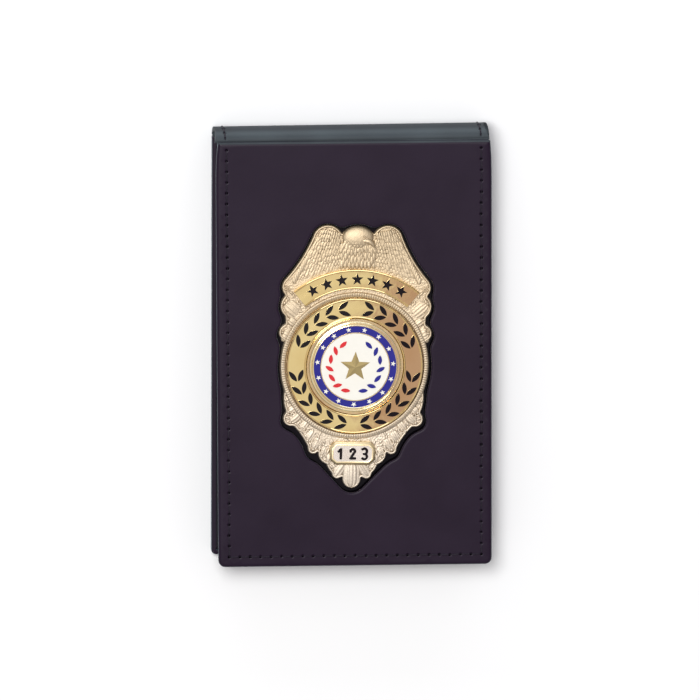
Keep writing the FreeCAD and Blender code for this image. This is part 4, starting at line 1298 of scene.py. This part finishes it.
def fieldDrop(radius, inner):  # the polished fields fall a little towards their outer edge
    return -panels["cone"] * (radius - inner)


def beadProfile(radius, level):  # a half-round line on a panel's edge
    turns = (180, 145, 110, 70, 35, 0)
    return [(radius + panels["bead"] * ray(turn).x, level + panels["beadRise"] * ray(turn).y)
            for turn in turns]


def panelProfile(inner, outer, top):
    bead = panels["bead"]
    fall = fieldDrop(outer, inner)
    field = [(inner + 2 * bead + 0.2, top), ((inner + outer) / 2, top + fall / 2 + 0.03),
             (outer - 2 * bead - 0.2, top + fall)]
    lines = (beadProfile(inner + bead, top), beadProfile(outer - bead, top + fall))
    return [(inner, panels["bed"])] + lines[0] + field + lines[1] + [(outer, panels["bed"])]


def ringLimits(node):  # inner and outer radius of a turned CAD node
    back = badgeCad.inverted()
    spots = [(back @ (frame["nodes"][node].matrix_world @ vert.co / mm)).xy.length
             for vert in frame["nodes"][node].data.vertices]
    return min(spots), max(spots)


def draped(name, node, inner, material, slot):  # a CAD inlay, laid down onto a sloping field if there is one
    bm = meshOf(node)
    bm.transform(badgeCad.inverted())
    if inner:
        for vert in bm.verts:
            vert.co.z += fieldDrop(vert.co.xy.length, inner) - panels["sink"]
    piece = smoothed(pieceFrom(name, bm, badgeAt), 30)
    dressed(piece, material, "front_cover", slot, node)


def makePanels():
    for node, inlay, steps, half in (("ring_panel", "ring_laurel", 192, 180.0),
                                     ("ribbon_panel", "ribbon_stars", 72, 40.0)):
        inner, outer = ringLimits(node)
        panel = spunPiece("badge_" + node, panelProfile(inner, outer, topOf(node)), steps, half)
        dressed(smoothed(panel, 30), polishedGold, "front_cover", "bright_gold", node)
        draped("badge_" + inlay, inlay, inner, blackEnamel, "black_enamel")

    top = topOf("number_plate")
    edge = anticlockwise(inBadge(rimOf("number_plate", boxOf("number_plate")[1].z, 1)[0]))
    plate = raisedPiece("badge_number_plate", offsetLoop(edge, numberPlate["spread"]), panels["bed"],
                        top - numberPlate["wall"] - panels["bed"], numberPlate["steps"])
    dressed(smoothed(plate, 30), satinGold, "front_cover", "pale_gold", "number_plate")
    face = raisedPiece("badge_number_face", offsetLoop(edge, -numberPlate["faceInset"]),
                       top - numberPlate["faceDepth"], numberPlate["faceWall"], numberPlate["faceSteps"])
    dressed(face, whiteMetal, "front_cover", "pale_gold")
    draped("badge_number_digits", "number_digits", None, blackEnamel, "black_enamel")


def makeSeal():
    _, outer = ringLimits("seal_disc")
    blueIn, blueOut = ringLimits("blue_enamel")
    whiteOut = ringLimits("white_enamel")[1]
    top = topOf("blue_enamel")
    bed = panels["bed"] - top
    rim = [(outer, bed), (outer, -0.45), (outer - 0.1, -0.34), (outer - 0.3, -0.34), (outer - 0.4, -0.5),
           (outer - 0.55, -0.5), (outer - 0.7, -0.22), (outer - 0.95, -0.08)]
    line = [(blueOut + 0.75, -0.08), (blueOut + 0.6, -0.2), (blueOut + 0.5, -0.2), (blueOut + 0.4, 0.0),
            (blueOut + 0.3, 0.06), (blueOut + 0.1, 0.06), (blueOut, -0.02), (blueOut, -0.25)]
    fence = [(blueIn, -0.25), (blueIn, -0.02), (blueIn - 0.06, 0.05), (whiteOut + 0.06, 0.05),
             (whiteOut, -0.02), (whiteOut, -0.25)]
    hub = [(0.4, -0.25), (0.4, bed)]
    profile = [(radius, top + z) for radius, z in rim + line + fence + hub]
    seal = spunPiece("badge_seal_disc", profile, 160)
    dressed(smoothed(seal, 35), paleGold, "front_cover", "bright_gold", "seal_disc")
    print("badge made")


makeShell()
makePanels()
makeSeal()


def dressNodes():  # hard CAD pieces that stay, each in its own finish
    finishes = {
        "blue_enamel": blueEnamel, "white_enamel": whiteEnamel, "seal_stars": whiteEnamel,
        "middle_star": polishedGold, "red_leaves": redEnamel, "blue_leaves": blueEnamel,
        "front_window": clearFilm, "back_window": clearFilm, "front_id_card": cardPlastic,
        "back_id_card": cardPlastic, "back_board": pressedBoard, "hinge_bracket": nickelSteel,
        "hinge_rivet": nickelSteel, "pin_stem": nickelSteel, "catch_housing": nickelSteel,
        "catch_rotor": nickelSteel,
    }
    for node, material in finishes.items():
        frame["nodes"][node].data.materials.clear()
        frame["nodes"][node].data.materials.append(material)


dressNodes()


# Floor, light and camera

studio = {"floor": 4.0, "level": -0.4, "floorColor": "e0e0e0",
          "sky": ((0.0, 0.5), (0.25, 0.36), (0.62, 0.42), (0.84, 0.74), (1.0, 0.75)),
          "warmColor": "d3bcc8", "warmAim": (0.4, -0.2, 0.89), "warmInner": 0.965, "warmOuter": 0.935}
lamps = {  # place, width, height, watts and colour of each soft box
    "key": ((-0.3, 0.41, 1.5), 0.5, 0.55, 22.5, "ffffff"),
    "back strip": ((0.0, 1.15, 0.42), 1.4, 0.35, 4.0, "e6eeff"),
    "left strip": ((-1.15, -0.1, 0.4), 1.2, 0.3, 0.3, "f4f6ff"),
}


def makeFloor():
    bpy.ops.object.select_all(action="DESELECT")
    bpy.ops.mesh.primitive_plane_add(size=studio["floor"], location=(0, 0, studio["level"] * mm))
    floor = bpy.context.object
    floor.name = "floor"
    bpy.ops.object.transform_apply(location=True)
    material = startMaterial("white paper sweep")
    paper = addNode(material, "BsdfDiffuse", {"Color": linear(studio["floorColor"])})
    floor.data.materials.append(endMaterial(material, paper))


def makeSky():  # a grey room, brightest overhead, with one warm patch that the right of the badge mirrors
    world = bpy.data.worlds.new("studio")
    bpy.context.scene.world = world
    world.use_nodes = True
    world.node_tree.nodes.clear()
    direction = addNode(world, "TexCoord").outputs["Generated"]
    parts = addNode(world, "SeparateXYZ", {"Vector": direction})
    level = addNode(world, "ValToRGB", {"Fac": parts.outputs["Z"]},
                    [(spot, (value, value, value, 1)) for spot, value in studio["sky"]])
    near = addNode(world, "VectorMath", {0: direction, 1: Vector(studio["warmAim"]).normalized()},
                   operation="DOT_PRODUCT")
    warm = addNode(world, "MapRange", {
        "Value": near.outputs["Value"], "From Min": studio["warmOuter"], "From Max": studio["warmInner"]},
        interpolation_type="SMOOTHSTEP")
    tint = addNode(world, "ValToRGB", {"Fac": warm},
                   ((0.0, linear("ffffff")), (1.0, linear(studio["warmColor"]))))
    toned = addNode(world, "VectorMath", {0: level, 1: tint}, operation="MULTIPLY")
    sky = addNode(world, "Background", {"Color": toned})
    addNode(world, "OutputWorld", {"Surface": sky})


def makeLamps():
    for name, (place, width, height, watts, color) in lamps.items():
        aim = (-Vector(place)).to_track_quat("-Z", "Y").to_euler()
        bpy.ops.object.light_add(type="AREA", location=place, rotation=aim)
        lamp = bpy.context.object
        lamp.name = name
        lamp.data.shape = "RECTANGLE"
        lamp.data.size = width
        lamp.data.size_y = height
        lamp.data.energy = watts
        lamp.data.color = linear(color)[:3]


# The photo is taken from nearly straight above, a little from the fold's side and from the left.
lens = {"distance": 6.0, "towardsFold": 11.3, "towardsLeft": 5.52, "roll": 0.16,
        "target": (-0.00105, -0.00013, 0.016), "frameWidth": 700 * 0.2679 * mm, "sensor": 36}


def makeCamera():
    tilt = math.radians(lens["towardsFold"])
    turn = math.radians(lens["towardsLeft"])
    back = Vector((-math.sin(turn), math.sin(tilt) * math.cos(turn), math.cos(tilt) * math.cos(turn)))
    right = Vector((0, 1, 0)).cross(back).normalized()
    up = back.cross(right)
    view = Matrix((right, up, back)).transposed() @ Matrix.Rotation(math.radians(lens["roll"]), 3, "Z")
    bpy.ops.object.camera_add(location=Vector(lens["target"]) + back * lens["distance"],
                              rotation=view.to_euler())
    camera = bpy.context.object
    camera.data.sensor_width = lens["sensor"]
    camera.data.lens = lens["sensor"] * lens["distance"] / lens["frameWidth"]
    camera.data.clip_end = 20
    bpy.context.scene.camera = camera


makeFloor()
makeSky()
makeLamps()
makeCamera()
bpy.context.scene.view_settings.view_transform = "Standard"
